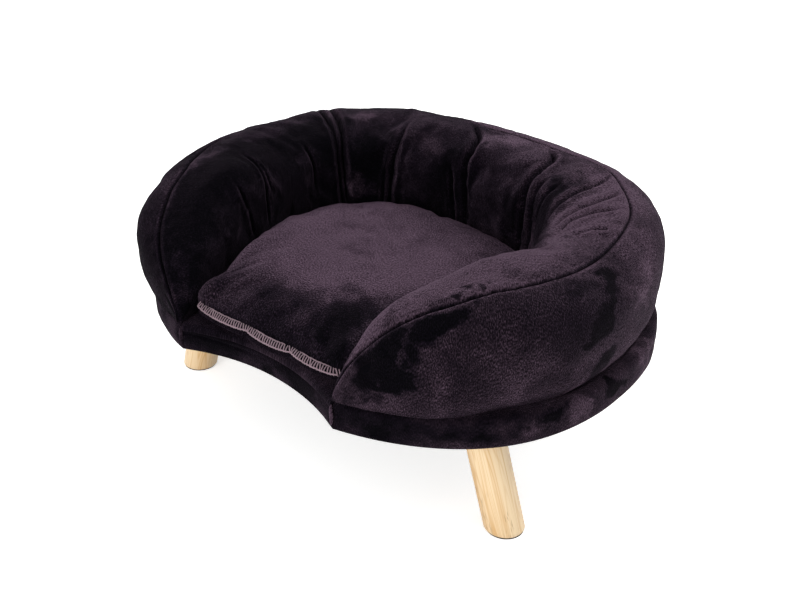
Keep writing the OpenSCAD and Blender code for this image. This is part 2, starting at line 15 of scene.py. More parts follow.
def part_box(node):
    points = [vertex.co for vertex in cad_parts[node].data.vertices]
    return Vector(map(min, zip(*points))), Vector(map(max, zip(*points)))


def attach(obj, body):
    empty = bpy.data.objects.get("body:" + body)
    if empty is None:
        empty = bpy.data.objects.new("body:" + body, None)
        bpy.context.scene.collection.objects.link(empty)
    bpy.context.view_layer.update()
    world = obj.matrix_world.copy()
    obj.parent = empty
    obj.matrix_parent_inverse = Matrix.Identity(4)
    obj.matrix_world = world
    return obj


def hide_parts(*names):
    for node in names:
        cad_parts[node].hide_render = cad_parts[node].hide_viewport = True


bl_info = {
    "name": "Dog Sofa Bed",
    "version": (1, 0, 0),
    "blender": (4, 5, 0),
    "location": "3D View > Sidebar > Dog Sofa Bed",
    "description": "Builds a raised sofa bed for a small dog round its packed frame",
    "category": "Object",
}

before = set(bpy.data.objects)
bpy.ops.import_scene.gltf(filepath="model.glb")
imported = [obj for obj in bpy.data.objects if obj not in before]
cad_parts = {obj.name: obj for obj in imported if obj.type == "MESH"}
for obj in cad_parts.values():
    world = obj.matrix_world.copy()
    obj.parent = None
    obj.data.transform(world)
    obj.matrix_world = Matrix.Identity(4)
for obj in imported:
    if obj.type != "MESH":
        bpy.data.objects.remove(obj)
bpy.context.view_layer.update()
MM = 0.001
# The base's middle line in the frame, in millimetres
PLAN_SHIFT = -17.0725


# ---------------------------------------------------------------------------------------------
# Settings
# ---------------------------------------------------------------------------------------------
def length(name, description, default):
    return FloatProperty(name=name, description=description, default=default, unit="LENGTH")


def colour(name, description, default):
    return FloatVectorProperty(name=name, description=description, default=default, size=3, min=0, max=1,
                               subtype="COLOR")


class SofaBaseSettings(bpy.types.PropertyGroup):
    width: length("Width", "Width of the upholstered base", 0.700)
    front_reach: length("Front reach", "Depth from the middle line to the front of the oval", 0.275)
    back_reach: length("Back reach", "Depth from the middle line to the back", 0.294)
    corner_reach: length("Corner reach", "Distance of each front corner from the centre line", 0.133)
    front_scoop: length("Front scoop", "How far the front edge is scooped back", 0.031)
    underside: length("Underside", "Height of the underside above the floor", 0.1522)
    top: length("Top", "Height of the deck above the floor", 0.186)
    edge_round: length("Edge round", "Radius of the padded top edge", 0.009)
    hem: length("Hem", "Width of the plush that is turned in under the board", 0.030)


class SofaBolsterSettings(bpy.types.PropertyGroup):
    arm_height: length("Arm height", "Height of the arms above the deck", 0.143)
    back_height: length("Back height", "Height of the back above the deck", 0.151)
    arm_width: length("Arm width", "Distance of the arms' inner faces from the base's side", 0.1515)
    seat_back: length("Seat back", "Distance of the back's inner face behind the middle line", 0.146)
    foot_inset: length("Foot inset", "How far the bolster stands in from the base's edge", 0.020)
    outer_bulge: length("Outer bulge", "How far the bolster bulges out past its foot", 0.022)
    crease: length("Seam crease", "Depth of the crease along the crest seam", 0.0038)
    columns: IntProperty(name="Columns", description="Sections round half of the bolster", default=420)
    outer_rows: IntProperty(name="Outer rows", description="Rows from the seam to the outer foot", default=85)
    inner_rows: IntProperty(name="Inner rows", description="Rows from the seam to the inner foot", default=112)


class SofaCushionSettings(bpy.types.PropertyGroup):
    height: length("Height", "Height of the crown above the deck", 0.060)
    seam: length("Seam height", "Height of the edge seam above the deck", 0.020)
    gap: length("Gap", "Gap between the cushion and the bolster", 0.002)
    rest: length("Rest gap", "Gap between the cushion's underside and the deck", 0.0003)
    hem_reach: length("Hem reach", "Distance of the front hem from the middle line", 0.235)
    hem_half: length("Half hem", "Half of the front hem's width", 0.1215)
    overlock: length("Overlock", "Width of the overlocked edge", 0.0096)
    stitch: length("Stitch", "Distance from stitch to stitch", 0.0038)


class SofaLegSettings(bpy.types.PropertyGroup):
    diameter: length("Diameter", "Diameter of each round leg", 0.049)
    splay: FloatProperty(name="Splay", description="Angle by which each leg leans out",
                         default=math.radians(16.7), subtype="ANGLE")
    pad: length("Pad", "Thickness of the pad under each leg", 0.002)
    chamfer: length("Chamfer", "Width of the chamfer at the foot", 0.0009)
    front_x: length("Front foot across", "Distance of the front feet from the centre line", 0.283)
    front_y: length("Front foot forward", "Distance of the front feet from the middle line", 0.124)
    rear_x: length("Rear foot across", "Distance of the rear feet from the centre line", 0.211)
    rear_y: length("Rear foot back", "Distance of the rear feet from the middle line", 0.172)


class SofaFinishSettings(bpy.types.PropertyGroup):
    # Stops of the plush's colour ramp along its nap value, which also carries painted light and shade: the deep and
    # dark stops colour the painted shade in the folds, creases and under the bulges, and the light stop colours the
    # painted light on the tops and towards the right
    deep: colour("Deep pile", "Plush in the folds and under the bulges", (0.0012, 0.0010, 0.0018))
    dark: colour("Dark nap", "Plush brushed away from the light", (0.0040, 0.0026, 0.0050))
    middle: colour("Middle nap", "Plush standing straight", (0.0125, 0.0077, 0.0122))
    light: colour("Light nap", "Plush brushed towards the light", (0.0430, 0.0268, 0.0398))
    thread: colour("Thread", "Overlock thread", (0.1900, 0.1240, 0.1500))
    pine: colour("Pine", "Pale wood between the grain lines", (0.80, 0.615, 0.385))
    grain: colour("Grain", "Darker grain lines of the wood", (0.60, 0.345, 0.125))


class SofaStageSettings(bpy.types.PropertyGroup):
    lens: FloatProperty(name="Lens", description="Focal length of the camera in millimetres", default=46.98)
    lamp: FloatProperty(name="Lamp", description="Power that each lamp takes its multiple of", default=11.0,
                        subtype="POWER")
    fill: FloatProperty(name="Fill", description="Light that the surroundings give", default=0.70)


SETTINGS = {
    "sofa_base": SofaBaseSettings, "sofa_bolster": SofaBolsterSettings, "sofa_cushion": SofaCushionSettings,
    "sofa_legs": SofaLegSettings, "sofa_finish": SofaFinishSettings, "sofa_stage": SofaStageSettings,
}


def settings(name):
    return getattr(bpy.context.scene, name)


def mm(name, field):
    """A setting's length in millimetres."""
    return getattr(settings(name), field) / MM


def deck_top():
    return mm("sofa_base", "top")


def underside():
    return mm("sofa_base", "underside")


def seat_seam():
    """Height of the cushion's edge seam above the floor."""
    return deck_top() + mm("sofa_cushion", "seam")


# ---------------------------------------------------------------------------------------------
# Small mathematics
# ---------------------------------------------------------------------------------------------
def signed_power(v, p):
    return np.sign(v) * np.abs(v) ** p


def ease(v):
    s = np.clip(v, 0, 1)
    return s * s * (3 - 2 * s)


def bell(d):
    return np.exp(-np.square(d))


def lattice_noise(points, size, seed):
    """Smooth noise from -1 to 1 with features about size millimetres wide."""
    q = np.asarray(points, float) / size
    low = np.floor(q).astype(np.int64)
    f = q - low
    f = f * f * f * (f * (f * 6 - 15) + 10)
    total = np.zeros(q.shape[:-1])
    for corner in product((0, 1), repeat=3):
        n = low + corner
        mix = (n[..., 0] * 73856093) ^ (n[..., 1] * 19349663) ^ (n[..., 2] * 83492791) ^ (seed * 2654435)
        mix = ((mix ^ (mix >> 13)) * 1274126177) & 0xFFFFFFFF
        mix = ((mix ^ (mix >> 16)) * 2246822519) & 0xFFFFFFFF
        weight = np.prod(np.where(corner, f, 1 - f), axis=-1)
        total += ((mix >> 8) & 0xFFFF) / 32767.5 * weight - weight
    return total


def cloudy(points, size, seed, octaves=3, fade=0.5):
    """Several sizes of noise added up, from about -1 to 1."""
    total, weight = 0, 1
    for k in range(octaves):
        total = total + weight * lattice_noise(points, size / 2 ** k, seed + k)
        weight *= fade
    return total


def resample(lines, shares):
    """Points at equal shares of the length along each of several lines (lines, points, 3)."""
    steps = np.linalg.norm(np.diff(lines, axis=1), axis=2)
    along = np.concatenate([np.zeros((len(lines), 1)), np.cumsum(steps, axis=1)], axis=1)
    along /= along[:, -1:]
    return np.stack([np.stack([np.interp(shares, a, line[:, k]) for k in range(3)], axis=-1)
                     for a, line in zip(along, lines)])


def evenly(line, count):
    """A flat line as so many points at even distances."""
    return resample(np.pad(line, ((0, 0), (0, 1)))[None], np.linspace(0, 1, count))[0][:, :2]


def grid_normals(grid):
    """Unit normals of a grid of points."""
    across = np.gradient(grid, axis=0)
    along = np.gradient(grid, axis=1)
    n = np.cross(across, along)
    return n / np.maximum(np.linalg.norm(n, axis=-1, keepdims=True), 1e-9)


def faced_out(grid):
    """Normals of a cover's grid, turned away from its filling."""
    facing = grid_normals(grid)
    return -facing if facing[len(facing) // 2, 5, 2] < 0 else facing


def shake(points, size, seed):
    """Smooth noise for each of the points' three coordinates."""
    return np.stack([lattice_noise(points, size, seed + k) for k in range(3)], axis=-1)


def run_length(points, axis):
    """Length from the start along one axis of a grid."""
    steps = np.linalg.norm(np.diff(points, axis=axis), axis=-1)
    zero = np.zeros_like(np.take(steps, [0], axis=axis))
    return np.concatenate([zero, np.cumsum(steps, axis=axis)], axis=axis)


# ---------------------------------------------------------------------------------------------
# Meshes
# ---------------------------------------------------------------------------------------------
def add_object(name, data):
    """A new object in the scene."""
    made = bpy.data.objects.new(name, data)
    bpy.context.scene.collection.objects.link(made)
    return made


def new_mesh(name, points, faces):
    """A plain mesh from points in metres."""
    mesh = bpy.data.meshes.new(name)
    mesh.from_pydata(points.tolist(), [], [list(map(int, f)) for f in faces])
    return mesh


def make_mesh(name, points, faces, material, body, uv=None, values=None):
    """A piece from points in millimetres about the base's middle, with a cloth map and values."""
    points = (np.asarray(points, float).reshape(-1, 3) + (0, PLAN_SHIFT, 0)) * MM
    mesh = new_mesh(name, points, faces)
    for key, value in (values or {}).items():
        mesh.attributes.new(key, "FLOAT", "POINT").data.foreach_set(
            "value", np.asarray(value, np.float32).ravel())
    if uv is not None:
        at = np.zeros(len(mesh.loops), np.int32)
        mesh.loops.foreach_get("vertex_index", at)
        layer = mesh.uv_layers.new(name="Cloth")
        layer.data.foreach_set("uv", np.asarray(uv, np.float32).reshape(-1, 2)[at].ravel())
    piece = add_object(name, mesh)
    outward(mesh)
    mesh.materials.append(material)
    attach(piece, body)
    return piece


def outward(mesh):
    """Turns the faces outward and shades them smooth."""
    shape = bmesh.new()
    shape.from_mesh(mesh)
    bmesh.ops.recalc_face_normals(shape, faces=shape.faces)
    shape.to_mesh(mesh)
    shape.free()
    mesh.polygons.foreach_set("use_smooth", [True] * len(mesh.polygons))


def grid_faces(rows, columns, wrap=False, start=0):
    """The faces of a grid of points, whose last column can join its first."""
    index = np.arange(rows * columns).reshape(rows, columns) + start
    if wrap:
        index = np.concatenate([index, index[:, :1]], axis=1)
    return np.stack([index[:-1, :-1], index[:-1, 1:], index[1:, 1:], index[1:, :-1]], axis=-1).reshape(-1, 4).tolist()


def fan(first, around, pole):
    """The faces between a ring of points and a pole."""
    return [(first + k, first + (k + 1) % around, pole) for k in range(around)]


def closed_tube(loops):
    """Points and faces of a tube whose two ends close in a point. loops is (loops, round, 3)."""
    count, around = loops.shape[:2]
    points = np.concatenate([loops.reshape(-1, 3), loops[:1].mean(axis=1), loops[-1:].mean(axis=1)])
    faces = grid_faces(count, around, wrap=True)
    return points, faces + fan(0, around, count * around) + fan((count - 1) * around, around, count * around + 1)


# ---------------------------------------------------------------------------------------------
# Materials
# ---------------------------------------------------------------------------------------------
class Wire:
    """A node's output that can be used in sums."""

    def __init__(self, shader, socket):
        self.shader, self.socket = shader, socket

    def sum(self, operation, *values):
        return self.shader.add("ShaderNodeMath", {"operation": operation}, *values)

    def __add__(self, other):
        return self.sum("ADD", self, other)

    def __sub__(self, other):
        return self.sum("SUBTRACT", self, other)

    def __rsub__(self, other):
        return self.sum("SUBTRACT", other, self)

    def __mul__(self, other):
        return self.sum("MULTIPLY", self, other)

    def __pow__(self, other):
        return self.sum("POWER", self, other)

    def limit(self, low=0.0, high=1.0):
        return self.sum("MAXIMUM", self.sum("MINIMUM", self, high), low)

    __radd__, __rmul__ = __add__, __mul__


class Finish:
    """A material whose nodes are added by name."""

    def __init__(self, name):
        self.material = bpy.data.materials.new(name)
        self.material.use_nodes = True
        self.tree = self.material.node_tree
        self.shader = self.tree.nodes["Principled BSDF"]

    def add(self, kind, facts=None, *values, out=0, **named):
        node = self.tree.nodes.new(kind)
        for key, value in (facts or {}).items():
            if key == "stops":
                self.set_stops(node.color_ramp, value)
            else:
                setattr(node, key, value)
        for key, value in [*enumerate(values), *named.items()]:
            self.plug(node.inputs[key if isinstance(key, int) else key.replace("_", " ")], value)
        return Wire(self, node.outputs[out])

    def plug(self, socket, value):
        if isinstance(value, Wire):
            self.tree.links.new(value.socket, socket)
        else:
            socket.default_value = (*value, 1) if hasattr(value, "__len__") and len(
                socket.default_value) == 4 and len(value) == 3 else value

    def set_stops(self, ramp, stops):
        while len(ramp.elements) > 1:
            ramp.elements.remove(ramp.elements[-1])
        for k, (place, shade) in enumerate(stops):
            element = ramp.elements[0] if k == 0 else ramp.elements.new(place)
            element.position, element.color = place, (*shade, 1)

    def ramp(self, value, stops):
        return self.add("ShaderNodeValToRGB", {"stops": stops}, value)

    def noise(self, place, scale, detail=2.0, roughness=0.5):
        return self.add("ShaderNodeTexNoise", {}, place, Scale=scale, Detail=detail, Roughness=roughness)

    def stretch(self, place, scale):
        return self.add("ShaderNodeMapping", {}, place, Scale=scale)

    def tint(self, factor, a, b, blend="MIX"):
        node = self.tree.nodes.new("ShaderNodeMix")
        node.data_type, node.blend_type = "RGBA", blend
        for key, value in ((0, factor), (6, a), (7, b)):
            self.plug(node.inputs[key], value)
        return Wire(self, node.outputs[2])

    def value(self, name):
        return self.add("ShaderNodeAttribute", {"attribute_name": name}, out=2)

    def place(self):
        return self.add("ShaderNodeTexCoord", out=3)

    def cloth_map(self):
        return self.add("ShaderNodeUVMap", {"uv_map": "Cloth"})

    def bump(self, height, strength, distance):
        return self.add("ShaderNodeBump", {}, Height=height, Strength=strength, Distance=distance)

    def surface(self, **sockets):
        for key, value in sockets.items():
            self.plug(self.shader.inputs[key.replace("_", " ")], value)
        return self.material


def plush_finish(name, grain=1.0, mottle=1.0, hair=(880, 340, 1)):
    """Short pile. Where the nap value is high it stands up and shines, where it is low it lies flat and dark; that
    value also carries painted light and shade. The fold value darkens the colour as painted shade, and below 0 lightens
    it as a painted highlight.
    """
    shades = settings("sofa_finish")
    f = Finish(name)
    cloth = f.cloth_map()
    hairs = f.noise(f.stretch(cloth, hair), 1.0, detail=2, roughness=0.6) - 0.5
    clumps = f.noise(f.stretch(cloth, (150, 75, 1)), 1.0, detail=3, roughness=0.6) - 0.5
    patches = f.noise(f.place(), 55.0, detail=5, roughness=0.68) - 0.5
    nap, painted_shade = f.value("nap"), f.value("fold")
    mixed = patches * (0.5 * mottle) + clumps * (0.45 * mottle) + hairs * (1.6 * grain)
    nap = nap + mixed * (nap * 0.9 + 0.22).limit()
    # Painted shade: the fold value darkens the pile in folds, creases and under bulges; below 0 it is a painted
    # highlight
    nap = (nap - painted_shade.sum("MINIMUM", painted_shade, 0.0) * 0.8).limit() * (1.0 - painted_shade.limit() * 0.92)
    pile = f.ramp(nap, [(0.0, shades.deep), (0.25, shades.dark), (0.55, shades.middle), (1.0, shades.light)])
    tips = (1.0 + hairs * (3.4 * grain)).limit(0.15, 2.4)
    pile = f.tint(1.0, pile, f.add("ShaderNodeCombineColor", {}, tips, tips, tips), "MULTIPLY")
    bump = f.bump(hairs * 1.4 + clumps * 0.8, 1.0, 0.0018)
    flat = f.add("ShaderNodeBsdfPrincipled", {}, Base_Color=pile, Roughness=0.9, Specular_IOR_Level=0.02,
                 Sheen_Weight=0.07, Sheen_Roughness=0.25, Sheen_Tint=(0.30, 0.20, 0.31, 1), Normal=bump)
    f.surface(Base_Color=pile, Roughness=0.9, Specular_IOR_Level=0.04, Sheen_Weight=0.71, Sheen_Roughness=0.4,
              Sheen_Tint=(0.25, 0.168, 0.238, 1), Normal=bump)
    # The flat and the standing pile are mixed by nap, so the mix carries its painted light as well
    both = f.add("ShaderNodeMixShader", {}, (nap * (0.88 + hairs * (1.5 * grain))).limit(), flat,
                 Wire(f, f.shader.outputs[0]))
    f.tree.links.new(both.socket, f.tree.nodes["Material Output"].inputs["Surface"])
    return f.material


def thread_finish():
    shades = settings("sofa_finish")
    f = Finish("Overlock_Thread")
    twist = f.noise(f.place(), 900.0, detail=2)
    wear = f.noise(f.place(), 120.0, detail=2)
    body = f.tint((twist * 0.7 + wear * 0.4).limit(), tuple(c * 0.45 for c in shades.thread),
                  tuple(min(1, c * 1.35) for c in shades.thread))
    return f.surface(Base_Color=body, Roughness=0.75, Sheen_Weight=0.25, Sheen_Roughness=0.4,
                     Normal=f.bump(twist, 0.4, 0.0004))


def pine_finish():
    """Pale pine: long streaks along the leg, soft bands and a few darker pointed marks."""
    shades = settings("sofa_finish")
    f = Finish("Pine")
    along = f.cloth_map()
    streaks = f.noise(f.stretch(along, (260, 4, 1)), 1.0, detail=4, roughness=0.65)
    bands = f.noise(f.stretch(along, (34, 1.3, 1)), 1.0, detail=2)
    rings = f.noise(f.stretch(along, (46, 2.2, 1)), 1.0, detail=1)
    lines = (rings * 120.0).sum("SINE", rings * 120.0) * 0.5 + 0.5
    slits = f.noise(f.stretch(along, (900, 60, 1)), 1.0, detail=1)
    knots = f.noise(f.stretch(along, (42, 12, 1)), 1.0, detail=1)
    wood = f.tint(((bands - 0.45) * 4.5).limit() * 0.75, tuple(shades.pine), tuple(shades.grain))
    wood = f.tint((lines ** 5.0) * ((bands - 0.33) * 4.0).limit() * 0.9, wood, tuple(shades.grain))
    wood = f.tint(((streaks - 0.49) * 4.5).limit() * 0.75, wood, tuple(shades.grain))
    wood = f.tint(((slits - 0.57) * 9.0).limit() * ((knots - 0.53) * 9.0).limit() * 0.85, wood, (0.30, 0.15, 0.05))
    return f.surface(Base_Color=wood, Roughness=0.42 + streaks * 0.12, Coat_Weight=0.12, Coat_Roughness=0.25,
                     Normal=f.bump(streaks, 0.12, 0.0003))


def metal_finish(name, shade, roughness=0.35):
    f = Finish(name)
    grit = f.noise(f.place(), 700.0, detail=3)
    smear = f.noise(f.place(), 60.0, detail=2)
    body = f.tint(smear * 0.5, shade, tuple(c * 0.7 for c in shade))
    return f.surface(Base_Color=body, Metallic=1.0, Roughness=roughness + grit * 0.12,
                     Normal=f.bump(grit, 0.1, 0.0001))


def ply_finish():
    f = Finish("Plywood")
    place = f.place()
    plies = f.noise(f.stretch(place, (3, 3, 520)), 1.0, detail=0)
    grain = f.noise(f.stretch(place, (14, 260, 14)), 1.0, detail=3)
    wood = f.tint((grain * 0.6 + plies * 0.5).limit(), (0.62, 0.46, 0.27), (0.42, 0.28, 0.14))
    return f.surface(Base_Color=wood, Roughness=0.7, Normal=f.bump(grain, 0.2, 0.0004))


# Radians in one wave of the wave texture
WAVE_TURN = 6.283


def woven_finish(name, light, dark, threads, rough=0.85):
    """A plain weave from two crossing waves."""
    f = Finish(name)
    place = f.place()
    warp, weft = (f.add("ShaderNodeTexWave", {"bands_direction": way}, place, out=1, Scale=threads / WAVE_TURN,
                        Distortion=0.5) for way in "XY")
    weave = warp * weft
    slub = f.noise(place, 90.0, detail=3)
    body = f.tint((weave * 0.7 + slub * 0.3).limit(), dark, light)
    return f.surface(Base_Color=body, Roughness=rough, Normal=f.bump(weave, 0.3, 0.0003))


def felt_finish():
    f = Finish("Foot_Pad")
    fibres = f.noise(f.place(), 1500.0, detail=3)
    return f.surface(Base_Color=f.tint(fibres, (0.006, 0.006, 0.006), (0.035, 0.034, 0.036)), Roughness=0.95,
                     Normal=f.bump(fibres, 0.5, 0.0004))


# ---------------------------------------------------------------------------------------------
# Plan of the base and forms of the bolster, as the frame has them
# ---------------------------------------------------------------------------------------------
OVAL_POWER, OUTER_POWER, INNER_POWER = 2.31, 2.5, 3.6
NOSE_INSET, NOSE_BULGE, INNER_TUCK, NOSE_LENGTH = 3.0, 3.0, 4.0, 200.0
SEAT_MIDDLE = 5.0
MIDDLE_X_SHARE, MIDDLE_Y_SHARE = 0.47, 0.56
RISE_POWER, LEAN_POWER = 1.75, 0.55
ARM_SEAM_ANGLE, BACK_SEAM_ANGLE, NOSE_SEAM_ANGLE = 68, 42, 30


def oval_point(t, inset):
    t = np.radians(t)
    half = mm("sofa_base", "width") / 2
    reach = np.where(np.sin(t) < 0, mm("sofa_base", "front_reach"), mm("sofa_base", "back_reach"))
    return np.stack([(half - inset) * signed_power(np.cos(t), 2 / OVAL_POWER),
                     (reach - inset) * signed_power(np.sin(t), 2 / OVAL_POWER)], axis=-1)


def corner_angle(inset):
    half = mm("sofa_base", "width") / 2
    return -np.degrees(np.arccos((mm("sofa_base", "corner_reach") / (half - inset)) ** (OVAL_POWER / 2)))


def corner_depth():
    return -oval_point(corner_angle(0), 0)[1]


def side_line(inset, steps):
    first = corner_angle(inset)
    return oval_point(first + (180 - 2 * first) * np.linspace(0, 1, steps + 1), inset)


def scoop_line(inset, steps):
    corner = oval_point(corner_angle(inset), inset)
    middle = -corner_depth() + mm("sofa_base", "front_scoop") + inset
    rise = middle - corner[1]
    radius = (corner[0] ** 2 + rise ** 2) / (2 * rise)
    a = np.arcsin(corner[0] / radius) * np.linspace(-1, 1, steps + 1)
    return np.stack([radius * np.sin(a), middle - radius + radius * np.cos(a)], axis=-1)


def seat_half():
    return mm("sofa_base", "width") / 2 - mm("sofa_bolster", "arm_width")


def arm_line(s, gap):
    s = np.asarray(s, float)[..., None]
    reach = mm("sofa_base", "corner_reach")
    deep = corner_depth() - SEAT_MIDDLE
    p = np.array([[seat_half() - gap, -SEAT_MIDDLE], [seat_half() - gap, -SEAT_MIDDLE - 0.345 * deep],
                  [reach + 2 * NOSE_INSET - gap, -SEAT_MIDDLE - 0.672 * deep],
                  [reach - NOSE_INSET - gap, -corner_depth() + NOSE_INSET]])
    r = 1 - s
    return r ** 3 * p[0] + 3 * r * r * s * p[1] + 3 * r * s * s * p[2] + s ** 3 * p[3]


def back_line(t, gap):
    t = np.radians(t)
    deep = mm("sofa_bolster", "seat_back") + SEAT_MIDDLE
    return np.stack([(seat_half() - gap) * signed_power(np.cos(t), 2 / OVAL_POWER),
                     -SEAT_MIDDLE + (deep - gap) * signed_power(np.sin(t), 2 / OVAL_POWER)], axis=-1)


def outer_foot(t):
    inset = NOSE_INSET + (mm("sofa_bolster", "foot_inset") - NOSE_INSET) * ease((t + 52) / 20)
    return oval_point(t, inset)


def inner_foot(t):
    tip = corner_angle(NOSE_INSET)
    arm = arm_line(1 - np.clip((t - tip) / -tip, 0, 1) ** LEAN_POWER, 0)
    return np.where((t < 0)[:, None], arm, back_line(np.maximum(t, 0), 0))


def section_height(t):
    tip = oval_point(corner_angle(NOSE_INSET), NOSE_INSET)
    gone = np.linalg.norm(outer_foot(t) - tip, axis=-1) / NOSE_LENGTH
    arm, back = mm("sofa_bolster", "arm_height"), mm("sofa_bolster", "back_height")
    rising = (1 - (1 - np.minimum(gone, 1)) ** RISE_POWER) ** (1 / RISE_POWER)
    return np.where(t < 0, arm * rising, arm + (back - arm) * ease((t - 12) / 55))


def seam_angle(t, left):
    """Where the crest seam lies round the section; it wanders differently on the two halves."""
    tip = corner_angle(NOSE_INSET)
    angle = NOSE_SEAM_ANGLE + (ARM_SEAM_ANGLE - NOSE_SEAM_ANGLE) * ease((t - tip) / 22)
    drop = ARM_SEAM_ANGLE - BACK_SEAM_ANGLE
    if left:
        angle = angle + 9 * bell((t + 45) / 24) - drop * ease((t + 15) / 45) * ease((88 - t) / 24)
        return angle + 13 * ease((t - 66) / 22)
    return angle + 4 * bell((t - 45) / 12) + 13 * ease((t - 52) / 22)


def bolster_sections(t, samples=140, left=False):
    """Dense sections of one half at oval angles t, as on the right: seam to outer foot, and seam to inner foot."""
    from_, to = inner_foot(t), outer_foot(t)
    foot = np.linalg.norm(to - from_, axis=-1)[:, None]
    bulge = NOSE_BULGE + (mm("sofa_bolster", "outer_bulge") - NOSE_BULGE) * ease((t + 66) / 40)
    width = foot + bulge[:, None]
    height = np.maximum(section_height(t), 0.02)[:, None]
    mx, my = MIDDLE_X_SHARE * width, MIDDLE_Y_SHARE * height
    out_share = (foot - mx) / (width - mx)
    in_share = 1 - np.minimum(INNER_TUCK, mx / 4) / mx
    out_low = my / (1 - out_share ** OUTER_POWER) ** (1 / OUTER_POWER)
    in_low = my / (1 - in_share ** INNER_POWER) ** (1 / INNER_POWER)
    out_end = -np.degrees(np.arcsin((my / out_low) ** (OUTER_POWER / 2)))
    in_end = 180 + np.degrees(np.arcsin((my / in_low) ** (INNER_POWER / 2)))
    seam = seam_angle(t, left)[:, None]
    s = np.linspace(0, 1, samples)[None, :]
    grids = []
    for a in (seam + (out_end - seam) * s, seam + (in_end - seam) * s):
        half_x = np.where(a <= 90, width - mx, mx)
        half_y = np.where(a < 0, out_low, np.where(a <= 180, height - my, in_low))
        power = 2 / np.where(a <= 90, OUTER_POWER, INNER_POWER)
        r = np.radians(a)
        x = np.maximum(mx + half_x * signed_power(np.cos(r), power), 0)
        y = np.maximum(my + half_y * signed_power(np.sin(r), power), 0)
        along = (to - from_) / np.maximum(foot, 1e-6)
        place = from_[:, None, :] + along[:, None, :] * x[..., None]
        grids.append(np.concatenate([place, (deck_top() + y)[..., None]], axis=-1))
    return grids


def bolster_stations(count):
    """Oval angles from the front corner to the middle of the back, even along the crest."""
    tip = corner_angle(NOSE_INSET)
    t = tip + (90 - tip) * np.linspace(0, 1, 700) ** 1.5
    t[0] = tip * (1 - 0.0006)
    crest = bolster_sections(t, 3)[0][:, 0]
    along = np.concatenate([[0], np.cumsum(np.linalg.norm(np.diff(crest, axis=0), axis=1))])
    wanted = np.linspace(0, 1, count + 1) ** 1.12
    return np.interp(wanted * along[-1], along, t)


def both_halves(right, left):
    """A grid from the right corner round to the left, where the left half is given as on the right."""
    return np.concatenate([right, (left * (-1, 1, 1))[::-1][1:]])


# ---------------------------------------------------------------------------------------------
# Cloth: where the pile lies light or dark, and where light and shade are painted on it
# ---------------------------------------------------------------------------------------------
def near_line(points, line):
    """Distance of each point to a line through a few places, in millimetres."""
    best = np.full(points.shape[:-1], 1e9)
    line = np.asarray(line, float)
    for a, b in zip(line[:-1], line[1:]):
        along = b - a
        s = np.clip(((points - a) @ along) / max(along @ along, 1e-9), 0, 1)
        best = np.minimum(best, np.linalg.norm(points - a - s[..., None] * along, axis=-1))
    return best


# Marks darker than this are spots of flattened pile with a crisp edge
CRISP_MARK = -0.44


def brushed(points, seed, level, contrast=1.0, marks=(), size=95.0):
    """Nap from 0, dark, to 1, light: soft crushed patches and the marks listed, each a line of places, a radius
    and how much lighter or darker it is."""
    # The level and the marks give painted light and shade as well as crushed pile
    warp = np.stack([cloudy(points, 38, seed + 20 + k, 4, 0.6) for k in range(3)], axis=-1)
    moved = points + 12 * warp
    large = cloudy(moved, size, seed, 2)
    small = cloudy(moved, size * 0.36, seed + 7, 4, 0.6)
    nap = level + contrast * (0.13 * np.tanh(2.4 * large) + 0.12 * small)
    for line, radius, change in marks:
        inside = 1.35 - near_line(moved, line) / radius
        if change < CRISP_MARK:
            inside = (inside - 0.3 + 0.4 * small) * (0.5 + radius / 14)
        nap = nap + change * ease(inside) * (1 + 0.5 * small)
    return np.clip(nap, 0, 1)


# ---------------------------------------------------------------------------------------------
# Cloth simulation
# ---------------------------------------------------------------------------------------------
# Every third row and column of a cover: the points that are simulated
THIRD = (slice(None, None, 3), slice(None, None, 3))
# Cloth that the points with the most spare have too much, and the frames that the simulation runs for
MOST_SPARE, CLOTH_FRAMES = 0.09, 20


def swell(points, faces, pinned, spare, pressure, limit):
    """How far a cover moves when its filling presses and it has some spare cloth. spare is 0 to 1 for
    each point, as a share of the most."""
    scene = bpy.context.scene
    mesh = new_mesh("Cover", points * MM, faces)
    outward(mesh)
    cover = add_object("Cover", mesh)
    for name, weights in (("Pin", pinned), ("Tight", 1 - spare)):
        group = cover.vertex_groups.new(name=name)
        for k in np.flatnonzero(weights > 0.003):
            group.add([int(k)], float(weights[k]), "REPLACE")
    cloth = cover.modifiers.new("Cloth", "CLOTH")
    s = cloth.settings
    s.quality, s.mass, s.air_damping = 6, 0.3, 2
    s.tension_stiffness = s.compression_stiffness = 25
    s.shear_stiffness, s.bending_stiffness = 8, 0.5
    s.vertex_group_mass, s.pin_stiffness = "Pin", 1
    s.use_pressure, s.uniform_pressure_force = True, pressure
    s.shrink_min, s.shrink_max, s.vertex_group_shrink = -MOST_SPARE, 0.0, "Tight"
    s.effector_weights.gravity = 0
    cloth.collision_settings.use_collision = False
    cloth.point_cache.frame_start, cloth.point_cache.frame_end = 1, CLOTH_FRAMES
    for number in range(1, CLOTH_FRAMES + 1):
        scene.frame_set(number)
    done = cover.evaluated_get(bpy.context.evaluated_depsgraph_get())
    moved = np.zeros(len(points) * 3)
    done.data.vertices.foreach_get("co", moved)
    moved = moved.reshape(-1, 3) / MM - points
    bpy.data.objects.remove(cover)
    bpy.data.meshes.remove(mesh)
    scene.frame_set(1)
    size = np.linalg.norm(moved, axis=1, keepdims=True)
    return moved * np.minimum(1, limit / np.maximum(size, 1e-6))


